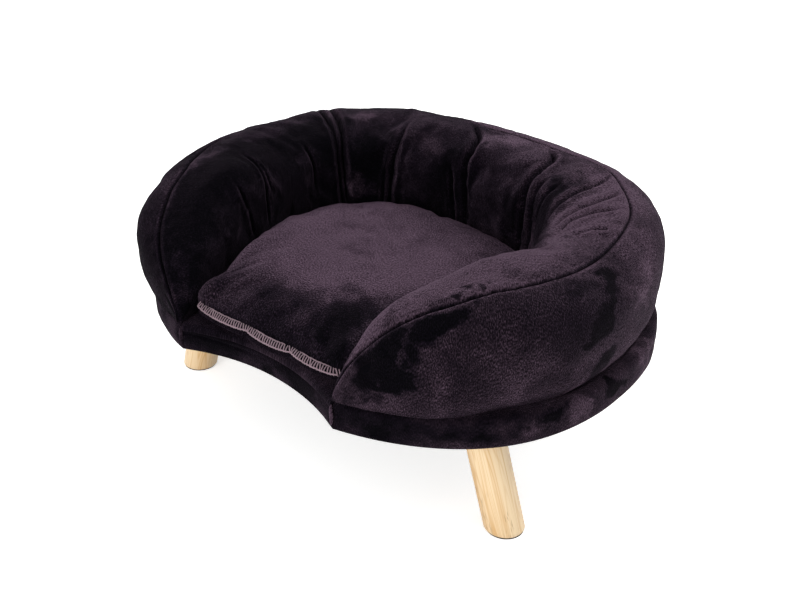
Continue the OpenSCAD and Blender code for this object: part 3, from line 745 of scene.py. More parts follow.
def finer(values, rows, columns, wrap=False):
    """A coarse grid of values made finer by straight lines, then smoothed."""
    if wrap:
        values = np.concatenate([values, values[:, :1]], axis=1)
    a, b = np.linspace(0, len(values) - 1, rows), np.linspace(0, values.shape[1] - 1, columns + wrap)
    low = np.minimum(a.astype(int), len(values) - 2)
    f = (a - low)[:, None, None]
    values = values[low] * (1 - f) + values[low + 1] * f
    low = np.minimum(b.astype(int), values.shape[1] - 2)
    f = (b - low)[None, :, None]
    values = values[:, low] * (1 - f) + values[:, low + 1] * f
    for _ in range(3):
        padded = np.pad(values, ((1, 1), (0, 0), (0, 0)), "edge")
        values = (padded[:-2] + 2 * values + padded[2:]) / 4
        padded = np.pad(values, ((0, 0), (1, 1), (0, 0)), "edge")
        values = (padded[:, :-2] + 2 * values + padded[:, 2:]) / 4
    return values[:, :columns]


# ---------------------------------------------------------------------------------------------
# Pieces
# ---------------------------------------------------------------------------------------------
FOLDS = [
    # Places along each fold as (oval angle, share of the way from the crest to the foot), depth, width
    ([(150, 0.03), (150.2, 0.28), (150.5, 0.45), (150.5, 0.63), (148.6, 0.8), (148, 0.96)], 8, 4.5),
    ([(146, 0.04), (145.7, 0.3), (146.6, 0.46), (147.6, 0.58), (146.2, 0.75), (145, 0.95)], 13, 6),
    ([(117.5, 0.34), (118.4, 0.45), (120.5, 0.55), (122.7, 0.66), (123.6, 0.79), (124, 0.95)], 10, 5),
    ([(126, 0.66), (127.5, 0.9)], 6, 4.5),
    ([(98, 0.03), (91, 0.14), (90, 0.31), (90.5, 0.43), (89.5, 0.6), (89, 0.93)], 13, 6),
    ([(95, 0.47), (94, 0.67), (92.5, 0.93)], 8, 4.5),
    ([(74, 0.03), (66, 0.14), (60, 0.35), (58.5, 0.48), (59, 0.6), (60, 0.94)], 12, 6),
    ([(46, 0.34), (42.5, 0.47), (42, 0.62), (44, 0.88)], 9, 6),
    ([(53, 0.37), (51, 0.58), (53, 0.88)], 6, 5),
    ([(50, 0.03), (45, 0.12), (38.7, 0.27), (30.7, 0.4), (25.7, 0.46), (21.7, 0.52)], 9, 4.5),
    ([(38, 0.03), (35, 0.12), (26, 0.28), (17.8, 0.38), (11.3, 0.4)], 7, 4.5),
    ([(27.7, 0.05), (24.7, 0.2), (16.9, 0.33), (9, 0.35)], 6, 4.5),
    ([(14.5, 0.07), (12.2, 0.2), (7.3, 0.27)], 4, 4),
    ([(219.2, 0.36), (219.7, 0.5), (216.9, 0.61), (216, 0.71), (215, 0.8)], 5, 3.4),
    ([(196, 0.26), (202.7, 0.44), (203.7, 0.55), (202.7, 0.66), (203.2, 0.8)], 6, 3.8),
    ([(198.5, 0.38), (199.5, 0.5), (197.5, 0.6)], 4, 4),
    ([(167.5, 0.45), (163.9, 0.59), (163.9, 0.76)], 5, 3.4),
]
# Where the real bolster departs from an even horseshoe: oval angle, spread, outwards, upwards, the share of the
# outward move that the foot makes too, and the share of the whole that the inner cover makes past the crest
LEANS = [(234, 15, 10, -2, 0.7, 1), (204, 18, -8, 0, 0, 1), (148, 9, 0, 6, 0, 1), (122, 16, 0, -1, 0, 1),
         (52, 12, 4, 0, 0, 1), (8, 22, -8, 0, 0, -0.6), (-62, 9, -4, 11, 0, 1), (0, 13, 2, -5, 0, 1)]
# Marks of the pile, crushed patches and painted light and shade: a line of places in millimetres, a radius and how much
# lighter or darker it is there
INNER_MARKS = [
    ([(-216, -100, 330), (-242, -29, 331), (-230, 37, 330), (-212, 89, 336)], 36, -0.3),
    ([(-225, -20, 310), (-205, -60, 300)], 26, -0.12), ([(-215, -140, 320), (-178, -185, 290)], 30, -0.14),
    ([(-170, 138, 333), (-200, 128, 333)], 16, 0.2), ([(-105, 155, 332), (-48, 153, 322)], 18, 0.16),
    ([(-116, 142, 330), (-90, 150, 330)], 16, -0.2), ([(-25, 158, 324), (-2, 188, 334)], 14, -0.2),
    ([(20, 202, 337), (83, 235, 336)], 26, 0.34), ([(-156, 96, 255), (-148, 104, 245)], 20, 0.42),
    ([(-178, -100, 262), (-172, -124, 250)], 12, 0.3), ([(-200, -54, 300), (-196, -40, 280)], 9, 0.2),
    ([(86, 128, 282), (103, 130, 241)], 18, -0.36), ([(200, -40, 300), (200, 20, 300), (185, 60, 300)], 22, -0.3),
    ([(226, 112, 332), (246, 152, 333)], 26, 0.3), ([(245, -60, 331), (252, -110, 329)], 30, 0.25),
    ([(240, 191, 326), (199, 175, 335)], 36, 0.34),
    ([(266, 144, 328), (245, 56, 329), (240, -40, 329), (215, -140, 318), (163, -211, 268)], 45, 0.5),
    ([(150, -232, 252), (175, -205, 285), (205, -165, 312)], 14, 0.3),
    ([(236, -171, 319), (243, -150, 324)], 9, -0.62), ([(246, -133, 327), (250, -122, 329)], 7, -0.6),
    ([(216, -150, 322), (224, -136, 326)], 6, -0.6), ([(205, -172, 312), (196, -180, 305)], 6, -0.6),
    ([(250, -112, 331), (262, -108, 330)], 5, -0.5), ([(226, -191, 312), (231, -184, 315)], 5, -0.6),
    ([(145, 95, 300), (185, 60, 285)], 30, -0.2),
    ([(158, 130, 335), (166, 116, 330), (173, 102, 320), (182, 86, 310)], 16, -0.4),
    ([(177, 160, 334), (178, 127, 332), (170, 98, 316), (160, 92, 287), (144, 106, 260)], 9, -0.26),
    ([(265, 25, 323), (262, 60, 325)], 26, -0.1), ([(240, 106, 333)], 22, 0.1), ([(246, -107, 330)], 24, 0.07),
    ([(141, 112, 270), (136, 114, 258)], 11, -0.4), ([(98, 131, 302), (79, 129, 249)], 12, -0.3),
    ([(-215, -96, 331), (-203, -20, 318), (-200, 26, 294)], 24, -0.2), ([(-264, -70, 332), (-261, -125, 326)], 24, 0.4),
    ([(-253, 39, 335), (-262, 0, 333)], 18, 0.18), ([(-168, -239, 254), (-142, -258, 214)], 16, 0.24),
    ([(145, -250, 236), (147, -241, 248), (141, -254, 220)], 9, 0.4),
    ([(-173, -117, 260), (-183, -81, 258), (-190, -7, 271)], 26, -0.12), ([(232, 120, 332), (236, 160, 332)], 34, 0.24),
]
OUTER_MARKS = [
    ([(152, -257, 198), (168, -252, 212), (180, -243, 245), (186, -234, 272)], 20, -0.6),
    ([(192, -243, 236), (220, -232, 264)], 16, -0.5), ([(150, -257, 196), (186, -249, 201)], 11, -0.5),
    ([(192, -226, 284), (203, -219, 292)], 12, -0.55),
    ([(216, -218, 288), (232, -205, 303), (254, -190, 308)], 13, -0.55),
    ([(214, -226, 272), (228, -214, 284)], 12, -0.3), ([(263, -172, 314), (268, -166, 310)], 10, -0.6),
    ([(296, -130, 317), (300, -128, 306)], 7, -0.45),
    ([(318, -110, 300), (341, -70, 286)], 40, -0.18), ([(318, -128, 212), (342, -60, 214)], 18, -0.24),
    ([(330, -16, 306), (340, -27, 290), (345, -46, 268)], 19, -0.46), ([(307, 23, 319), (296, 5, 322)], 16, -0.2),
    ([(330, -45, 318), (318, -85, 322)], 12, -0.3),
    ([(334, -50, 197), (347, -20, 222)], 15, -0.5), ([(300, -120, 196), (325, -80, 200)], 11, -0.3),
    ([(315, 78, 319), (336, 77, 302), (351, 40, 270)], 42, 0.19), ([(155, -256, 200), (160, -252, 206)], 13, -0.24),
    ([(258, -207, 258), (285, -188, 262)], 36, 0.12), ([(200, -255, 205), (235, -238, 208)], 22, -0.1),
    ([(281, -117, 310), (320, -60, 300), (335, -20, 290)], 36, -0.1), ([(353, 20, 290), (357, 60, 260)], 22, 0.16),
]


def lean_out(grid, angle, outer):
    """Moves the even horseshoe to the real one's lopsided form, more with height."""
    rise = np.clip((grid[..., 2] - deck_top()) / 45, 0, 1)[..., None]
    radial = grid.mean(axis=1)[:, :2]
    radial = radial / np.linalg.norm(radial, axis=-1, keepdims=True)
    moved = grid.copy()
    past = 0.0 if outer else ease(np.linspace(0, 1, grid.shape[1]) / 0.3)[:, None]
    for where, spread, out, up, foot, inner in LEANS:
        amount = bell((angle - where) / spread)[:, None, None] * (1 + (inner - 1) * past)
        moved[..., :2] += amount * out * radial[:, None] * (foot + (1 - foot) * rise)
        moved[..., 2:] += amount * up * rise
    return moved


def along_folds(grid, angle):
    """Depth of the gathered folds, the painted shade in them, below 0 where a painted highlight lies on their raised
    edges, and how near each point is."""
    share_down = run_length(grid, 1)
    share_down /= share_down[:, -1:]
    middle = share_down.mean(axis=0)
    lift, painted_shade, near, edge = (np.zeros(grid.shape[:2]) for _ in range(4))
    for number, (places, depth, width) in enumerate(FOLDS):
        places = np.array(places, float)
        s = np.linspace(0, 1, 50)
        track = np.linspace(0, 1, len(places))
        t, v = np.interp(s, track, places[:, 0]), np.interp(s, track, places[:, 1])
        for _ in range(40):
            t[1:-1], v[1:-1] = (t[:-2] + 2 * t[1:-1] + t[2:]) / 4, (v[:-2] + 2 * v[1:-1] + v[2:]) / 4
        i, j = np.interp(t, angle, np.arange(len(angle))), np.interp(v, middle, np.arange(len(middle)))
        i0, j0 = np.minimum(i.astype(int), len(angle) - 2), np.minimum(j.astype(int), len(middle) - 2)
        a, b = (i - i0)[:, None], (j - j0)[:, None]
        line = ((grid[i0, j0] * (1 - b) + grid[i0, j0 + 1] * b) * (1 - a)
                + (grid[i0 + 1, j0] * (1 - b) + grid[i0 + 1, j0 + 1] * b) * a)
        first, last = max(0, int(i.min()) - 30), int(i.max()) + 30
        area = grid[first:last]
        away = np.linalg.norm(area[:, :, None] - line[None, None, ::2], axis=-1)
        place = away.argmin(axis=2) / (away.shape[2] - 1)
        away = near_line(area, line)
        held = ease(place / 0.22) * ease((1 - place) / 0.18) + 0.25
        held = np.minimum(held, 1) * (1 + 0.25 * np.sin(9 * place + number))
        groove = np.exp(-(away / (0.5 * width)) ** 1.15)
        ridge = bell((away - 1.9 * width) / (1.0 * width))
        lift[first:last] -= held * depth * (groove - 0.16 * ridge)
        # A painted highlight along the raised edges beside each fold
        edge[first:last] += held * min(1, depth / 8) * bell((away - 1.25 * width) / (0.45 * width))
        # Painted shade in each fold's groove
        painted_shade[first:last] += held * np.exp(-(away / (0.27 * width)) ** 1.4) * min(1, depth / 8)
        near[first:last] = np.maximum(near[first:last], held * (away < 4.5))
    return lift, painted_shade - 0.30 * edge, near


# How far towards its section's middle a cover's hidden side lies, so that no fold reaches it
HIDDEN_DEPTH = 0.36


class SOFA_OT_bolster(bpy.types.Operator):
    """Build the stuffed bolster: a smooth outer cover and a gathered inner cover"""

    bl_idname = "sofa.bolster"
    bl_label = "Bolster"

    def execute(self, context):
        s = context.scene.sofa_bolster
        t = bolster_stations(s.columns)
        angle = np.concatenate([t, 180 - t[::-1][1:]])
        outer, inner = zip(bolster_sections(t), bolster_sections(t, left=True))
        for name, halves, rows, nodes, marks, seed in (
                ("bolster_outer_cover", outer, s.outer_rows, ("bolster_outer_panel", "bolster_fill"), OUTER_MARKS, 11),
                ("bolster_inner_cover", inner, s.inner_rows, ("bolster_inner_panel",), INNER_MARKS, 31)):
            gathered = name == "bolster_inner_cover"
            plush = plush_finish("Plush_Inner", 1.4, 1.5) if gathered else plush_finish("Plush_Outer", 1.35, 0.5)
            shares = np.linspace(0, 1, rows) ** (1.2 if gathered else 1.35)
            plain = both_halves(*(resample(half, shares) for half in halves))
            plain = lean_out(plain, angle, not gathered)
            shape, painted_shade = self.stuff(plain, angle, gathered, seed)
            if not gathered:
                under = np.linspace(0, 1, rows)
                # Painted shadow under the outer cover's bulge, in its last rows above the foot
                painted_shade = painted_shade + 0.4 * ease((under - 0.965) / 0.03)
            self.cover(name, plain, shape, painted_shade, nodes, marks, seed, plush)
        return {"FINISHED"}

    def stuff(self, plain, angle, gathered, seed):
        """The cover's surface once its filling presses it out between seams and gathers."""
        facing = faced_out(plain)
        down = run_length(plain, 1)
        small = np.minimum(1, section_height(np.minimum(angle, 180 - angle)) / 60)[:, None]
        lift, painted_shade, near = along_folds(plain, angle) if gathered else np.zeros((3, *down.shape))
        lift = lift * small
        coarse = plain[THIRD] + facing[THIRD] * lift[THIRD][..., None]
        coarse = coarse + (0.5 if gathered else 0.15) * facing[THIRD] * lattice_noise(coarse, 21, seed + 3)[..., None]
        pins = (near[THIRD] > 0.5).astype(float) * 0.8
        pins[:, 0] = pins[:, -1] = pins[0] = pins[-1] = 1
        spare = (0.50 if gathered else 0.03) * small[::3] * np.ones_like(pins)
        if gathered:
            turn = angle[::3, None]
            spare *= (0.3 + 0.7 * ease((turn + 30) / 40)) * (0.4 + 0.6 * ease((200 - turn) / 30))
            spare *= 0.3 + 0.7 * ease((down[THIRD] - 25) / 40)
        faces = grid_faces(*coarse.shape[:2])
        moved = swell(coarse.reshape(-1, 3), faces, pins.ravel(), spare.ravel(), 3.0, 9.0).reshape(coarse.shape)
        shape = plain + facing * lift[..., None]
        shape = shape + finer(moved, *plain.shape[:2]) * ease(down / 10)[..., None]
        ripple = 1.9 * cloudy(plain, 130, seed, 2) + 0.8 * lattice_noise(plain, 30, seed + 4)
        ripple += 0.35 * lattice_noise(plain, 9, seed + 5)
        if gathered:
            ripple += 6 * bell((angle + 60) / 11)[:, None] * bell((down - 34) / 26)
        wander = 1 + 0.25 * lattice_noise(plain, 22, 77)
        crease = mm("sofa_bolster", "crease") * wander * (np.exp(-(down / 1.9) ** 1.3) - 0.2 * bell((down - 8) / 6))
        pucker = 0.7 * lattice_noise(plain * (1, 1, 0.3), 6.5, seed + 8) * np.exp(-down / 7) * ease(down / 1.5)
        ripple = ripple + pucker / np.maximum(ease(down / 14), 0.02)
        shape = shape + facing * (small * (ripple * ease(down / 14) - crease))[..., None]
        if not gathered:
            from_foot = down[:, -1:] - down
            dents = small * 1.2 * bell((from_foot - 16) / 12) * lattice_noise(plain, 26, seed)
            shape = shape + facing * dents[..., None]
        shape[:, -1] = plain[:, -1]
        shape[..., 2] = np.maximum(shape[..., 2], deck_top() + 0.1)
        # Painted shade in the folds and in the crease along the crest seam, and a painted highlight in a thin line
        # beside the crease
        return shape, painted_shade + np.exp(-(down / 1.3) ** 1.5) - 0.22 * bell((down - 4.5) / 2.2)

    def cover(self, name, plain, shape, painted_shade, nodes, marks, seed, plush):
        """Closes a cover behind its surface, and gives it its cloth map and its pile, with painted light and shade in
        the pile's values.
        """
        rows = plain.shape[1]
        back = resample(plain, np.linspace(1, 0, 6))
        core = plain.mean(axis=1, keepdims=True)
        hidden = back[:, 1:-1] + HIDDEN_DEPTH * (core - back[:, 1:-1])
        loops = np.concatenate([shape, hidden], axis=1)
        spare = loops.shape[1] - rows
        points, faces = closed_tube(loops)
        down, along = run_length(plain, 1), run_length(plain, 0)
        uv = np.stack([along[:, :1].repeat(rows, 1), down], axis=-1)
        uv = np.pad(uv, ((0, 0), (0, spare), (0, 0))).reshape(-1, 2)
        facing = faced_out(shape)
        # Painted light: the pile's level rises towards the right and on upward faces; on the outer cover also in a band
        # above the foot and along the crest at the back
        right, upward = ease((shape[..., 0] + 150) / 300), np.clip(facing[..., 2], 0, 1)
        if name == "bolster_outer_cover":
            level = 0.09 + 0.37 * right + 0.13 * upward
            level = level + 0.16 * bell((down[:, -1:] - down - 22) / 16)
            level = level + 0.4 * bell(down / 30) * ease((shape[..., 1] - 120) / 60)
        else:
            level = 0.05 + (0.14 + 0.24 * right) * upward + 0.16 * right

        def full(values):
            """Values for the whole cover, 0 on its hidden side."""
            return np.concatenate([np.pad(values, ((0, 0), (0, spare))).ravel(), [0, 0]])

        nap = brushed(points, seed, full(level), 1.0, marks)
        piece = make_mesh(name, points, faces, plush, "frame", np.pad(uv, ((0, 2), (0, 0))) * MM,
                          {"nap": nap, "fold": full(painted_shade)})
        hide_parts(*nodes)


def edge_profile(round_, crease):
    """Cover from the hem under the board, round a soft lower edge and up the face, as inset and height. It
    ends in a crease below the top edge, or without one runs on over that edge under the bolster."""
    low, top = underside(), deck_top()
    under = [(mm("sofa_base", "hem") + 1.6, low + 0.7), (11.5, low + 0.7), (9, low - 0.8)]
    turn = np.radians(np.linspace(-90, 10, 8))
    bend = [(5.6 - 6.2 * math.cos(a), low + 3.8 + 6.8 * math.sin(a)) for a in turn]
    face = [(-0.9, low + 11), (-1.1, low + 15), (-0.4, low + 20)]
    end = [(crease * 0.4, top - round_ - 1.5), (crease, top - round_ - 0.2)]
    if crease == 0:
        turn = np.radians(np.linspace(0, 90, 7))
        end = [(round_ - round_ * math.cos(a), top - round_ + round_ * math.sin(a)) for a in turn]
        end += [(13, top - 0.2), (17, top - 0.7)]
    return np.array(under + bend + face + end)


# Marks of the base band's pile, crushed patches and painted light and shade: a line of places in millimetres, a radius
# and how much lighter or darker it is there
BAND_MARKS = [
    ([(262, -224, 170), (300, -190, 165)], 14, -0.4), ([(322, -128, 180), (334, -104, 184)], 12, -0.5),
    ([(350, -22, 181), (352, 5, 172)], 13, -0.5), ([(200, -262, 160), (175, -270, 170)], 18, -0.3),
    ([(351, 60, 175), (345, 110, 172)], 24, 0.4), ([(318, -150, 165), (300, -172, 175)], 14, 0.3),
    ([(270, -212, 165), (285, -200, 165)], 10, 0.12), ([(225, -228, 172), (238, -220, 172)], 12, -0.18),
    ([(311, -148, 174), (296, -168, 172)], 16, 0.12),
    ([(305, -155, 174), (314, -142, 172)], 14, 0.3), ([(340, -84, 170), (347, -60, 168)], 13, 0.25),
]


class SOFA_OT_base(bpy.types.Operator):
    """Build the base's covers: side band, scooped front band and deck"""

    bl_idname = "sofa.base"
    bl_label = "Base covers"

    def execute(self, context):
        plush = plush_finish("Plush_Base", 0.8, 0.8)
        under, top = underside(), deck_top()
        for name, line, steps, nodes, crease, seed, nap, brow in (
                ("base_side_cover", side_line, 720, ("base_side_band", "base_hem", "base_wadding"), 0, 51, 0.16, 0.09),
                ("base_front_cover", scoop_line, 140, ("base_front_band",), 2.0, 57, 0.03, 0)):
            outer = self.band(line, steps, edge_profile(mm("sofa_base", "edge_round"), crease), seed)
            inner = self.band(line, steps, np.array([(3.4, top - 12), (3.4, under + 4)]), 0)
            loops = np.concatenate([outer, inner], axis=1)
            points, faces = closed_tube(loops)
            along = run_length(loops, 0)[:, :1].repeat(loops.shape[1], 1)
            uv = np.stack([along, run_length(loops, 1)], axis=-1).reshape(-1, 2)
            uv = np.concatenate([uv, np.zeros((2, 2))]) * MM
            # Painted shade along the bottom edge and at the top under the bolster's bulge, carried by fold
            low, high = 1 - ease((points[:, 2] - under) / 6), ease((points[:, 2] - top + 13) / 11)
            hem = bell((points[:, 2] - under - 3) / 5)
            # Painted light: lighter towards the right, and a painted highlight along the side cover's top; also lighter
            # along the hem at the bottom
            level = nap + 0.18 * ease((points[:, 0] - 150) / 200) + 0.16 * hem + brow * high
            piece = make_mesh(name, points, faces, plush, "frame", uv,
                              {"nap": brushed(points, seed, level, 1.0, BAND_MARKS, 60),
                               "fold": 0.1 * low + 0.06 * high})
            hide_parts(*nodes)
        self.corner_rolls(plush)
        self.deck(plush)
        return {"FINISHED"}

    def band(self, line, steps, profile, seed):
        """Sweeps a profile of insets and heights along an edge of the base."""
        fine = evenly(profile, 40) if seed else profile
        rings = [np.concatenate([line(p[0], steps), np.full((steps + 1, 1), p[1])], axis=1) for p in fine]
        grid = np.stack(rings, axis=1)
        if seed:
            near_end = np.minimum(run_length(grid, 0)[:, :1], run_length(grid[::-1], 0)[::-1, :1])
            lift = 1.5 * cloudy(grid, 62, seed, 2) + 0.4 * lattice_noise(grid, 16, seed + 5) - 2.4 * bell(near_end / 4)
            if line is scoop_line:
                lift -= 2.2 * bell((grid[..., 2] - self.ridge(grid)) / 1.8) * ease((40 - grid[..., 0]) / 160)
                lift += 1.2 * bell((grid[..., 2] - self.ridge(grid) - 5) / 3) * ease((40 - grid[..., 0]) / 160)
            lift *= ease((grid[..., 2] - grid[..., 2].min() - 1) / 8)
            out = grid_normals(grid)
            out *= np.sign((out[..., :2] * grid[..., :2]).sum(axis=-1).mean())
            grid = grid + out * np.minimum(lift, 2.0)[..., None]
            front = bell((grid[..., 0] - 55) / 60) if line is scoop_line else 0
            sag = 1.0 + 1.2 * front + 1.6 * ease((-grid[..., 1] - 60) / 120)
            edge = ease((11 - fine[:, 0]) / 5)
            grid[..., 2] -= sag * edge * ease((underside() + 18 - grid[..., 2]) / 18)
        return grid

    def corner_rolls(self, plush):
        """The upright seam at each front corner, where the side cover's rolled edge laps the front cover."""
        low, top = underside(), deck_top()
        z = np.linspace(low + 1.5, top - 5, 26)
        # The right roll's pile is set lighter than the left's: painted light from the right
        for name, side, nap in (("left", -1, 0.4), ("right", 1, 0.85)):
            corner = oval_point(corner_angle(0), 0)
            path = np.stack([side * (corner[0] - 0.6 + 0.5 * np.sin(z / 5)),
                             corner[1] + 0.2 + 1.5 * ease((z - top + 14) / 12), z], axis=-1)
            loops = self.rod(path, 2.6)
            points, faces = closed_tube(loops)
            facts = {"nap": brushed(points, 61, nap, 0.8), "fold": np.zeros(len(points))}
            piece = make_mesh(f"corner_seam_{name}", points, faces, plush, "frame", points[:, ::2] * MM, facts)
            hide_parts("base_side_band")

    def rod(self, path, radius):
        """Loops of a round rod along an upright path, thinner towards its ends."""
        a = np.linspace(0, 2 * np.pi, 13)[:-1]
        ring = np.stack([np.cos(a), np.sin(a), 0 * a], axis=-1)
        fade = np.sqrt(np.sin(np.linspace(0.12, np.pi - 0.12, len(path))))
        return path[:, None] + radius * fade[:, None, None] * ring * (1, 0.8, 1)

    def ridge(self, grid):
        """Height of the fold that runs along the scooped front just below its top edge."""
        return deck_top() - 15 + 1.5 * np.sin(grid[..., 0] / 31)

    def deck(self, plush):
        """The top panel: a flat of plush that turns down over the padded edge to the crease."""
        top, round_ = deck_top(), mm("sofa_base", "edge_round")
        turn = np.radians(np.linspace(-8, 90, 9))
        edge = [(round_ - round_ * math.cos(a), top - round_ + round_ * math.sin(a)) for a in turn]
        rings = [(1.0, (2.2, top - round_ - 1.6))] + [(1.0, e) for e in edge]
        rings += [(s, (round_, top)) for s in (0.985, 0.96, 0.93, 0.9, 0.86, 0.82, 0.76, 0.7, 0.62, 0.54, 0.46, 0.37,
                                               0.28, 0.19, 0.1, 0.03)]
        grid = []
        for scale, (inset, height) in rings:
            side, front = side_line(12, 300), scoop_line(inset, 100)[1:-1]
            highs = np.concatenate([np.full(len(side), top), np.full(len(front), height)])
            grid.append(np.column_stack([np.concatenate([side, front]) * scale, highs]))
        grid = np.stack(grid)
        lift = 0.5 * cloudy(grid, 90, 71, 2) - 0.5
        lift[:3] = 0
        inside = ease((5 - np.arange(len(grid))[:, None]) / -4)
        grid[..., 2] += np.minimum(lift, 0) * inside
        below = grid[[14, 0]].copy()
        below[:, :, 2] = top - 4
        below[1, :, :2] *= 0.985
        below[1, :, 2] = top - round_ - 1.6
        loops = np.concatenate([grid, below])
        count, around = loops.shape[:2]
        points = np.concatenate([loops.reshape(-1, 3), [[0, 0, top - 0.5]], [[0, 0, top - 4]]])
        low, pole = len(grid) * around, count * around
        rim = low + around
        faces = grid_faces(len(grid), around, wrap=True) + fan(low - around, around, pole)
        faces += grid_faces(2, around, wrap=True, start=low) + fan(low, around, pole + 1)
        faces += [(k, (k + 1) % around, rim + (k + 1) % around, rim + k) for k in range(around)]
        uv = points[:, :2] * MM
        piece = make_mesh("deck_cover", points, faces, plush, "frame", uv,
                          {"nap": brushed(points, 73, 0.3), "fold": np.zeros(len(points))})
        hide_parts("base_top_panel", "base_foam")


def cushion_line(steps):
    """The cushion's outline, right half mirrored, evenly spaced, with rounded front corners."""
    gap, reach, half = (mm("sofa_cushion", key) for key in ("gap", "hem_reach", "hem_half"))
    hem = np.stack([np.linspace(0, 0.97 * half, 60), np.full(60, -reach)], axis=-1)
    side = arm_line(np.linspace(0.88, 0, 200), gap)
    back = back_line(np.linspace(0, 90, 200), gap)
    right = np.concatenate([hem, side, back[1:]])
    line = np.concatenate([right, (right * (-1, 1))[::-1][1:-1], right[:1]])
    line = evenly(line, steps + 1)[:-1]
    for _ in range(3):
        line = (np.roll(line, 1, 0) + 2 * line + np.roll(line, -1, 0)) / 4
    return line


# Marks of the cushion's pile, crushed patches and painted light and shade: a line of places in millimetres, a radius
# and how much lighter or darker it is there
SEAT_MARKS = [
    ([(-70, -55, 246), (30, -90, 246)], 75, 0.3), ([(-100, 30, 246), (20, -10, 246), (110, -40, 246)], 70, 0.22),
    ([(-150, -60, 246), (-60, -90, 246)], 60, 0.10),
    ([(90, -165, 243), (66, -192, 243), (100, -228, 238)], 30, -0.43),
    ([(50, -140, 246), (78, -135, 246), (112, -112, 246)], 16, -0.26),
    ([(-60, -255, 225), (20, -232, 230)], 40, -0.14), ([(-34, -187, 243), (-4, -170, 243), (20, -178, 243)], 20, -0.26),
    ([(42, -177, 243), (58, -205, 240), (30, -215, 238)], 18, 0.2), ([(-103, -206, 243), (-121, -147, 243)], 20, -0.14),
    ([(-111, 74, 246), (-77, 57, 246)], 9, -0.16),
    ([(80, 60, 246), (110, 30, 246)], 36, 0.09), ([(-185, -120, 240), (-170, -60, 245)], 17, -0.26),
    ([(-20, -154, 246), (5, -165, 246)], 14, 0.14), ([(-66, -175, 244), (-56, -203, 243)], 13, -0.08),
]
# The zip's slot under the cushion: its distance behind the middle line, its middle and half its length
ZIP_BACK, ZIP_MIDDLE, ZIP_HALF = 56.0, -10.0, 140.0
# Rows from the cushion's middle to its seam, and columns round it
SEAT_ROWS, SEAT_COLUMNS = 72, 630


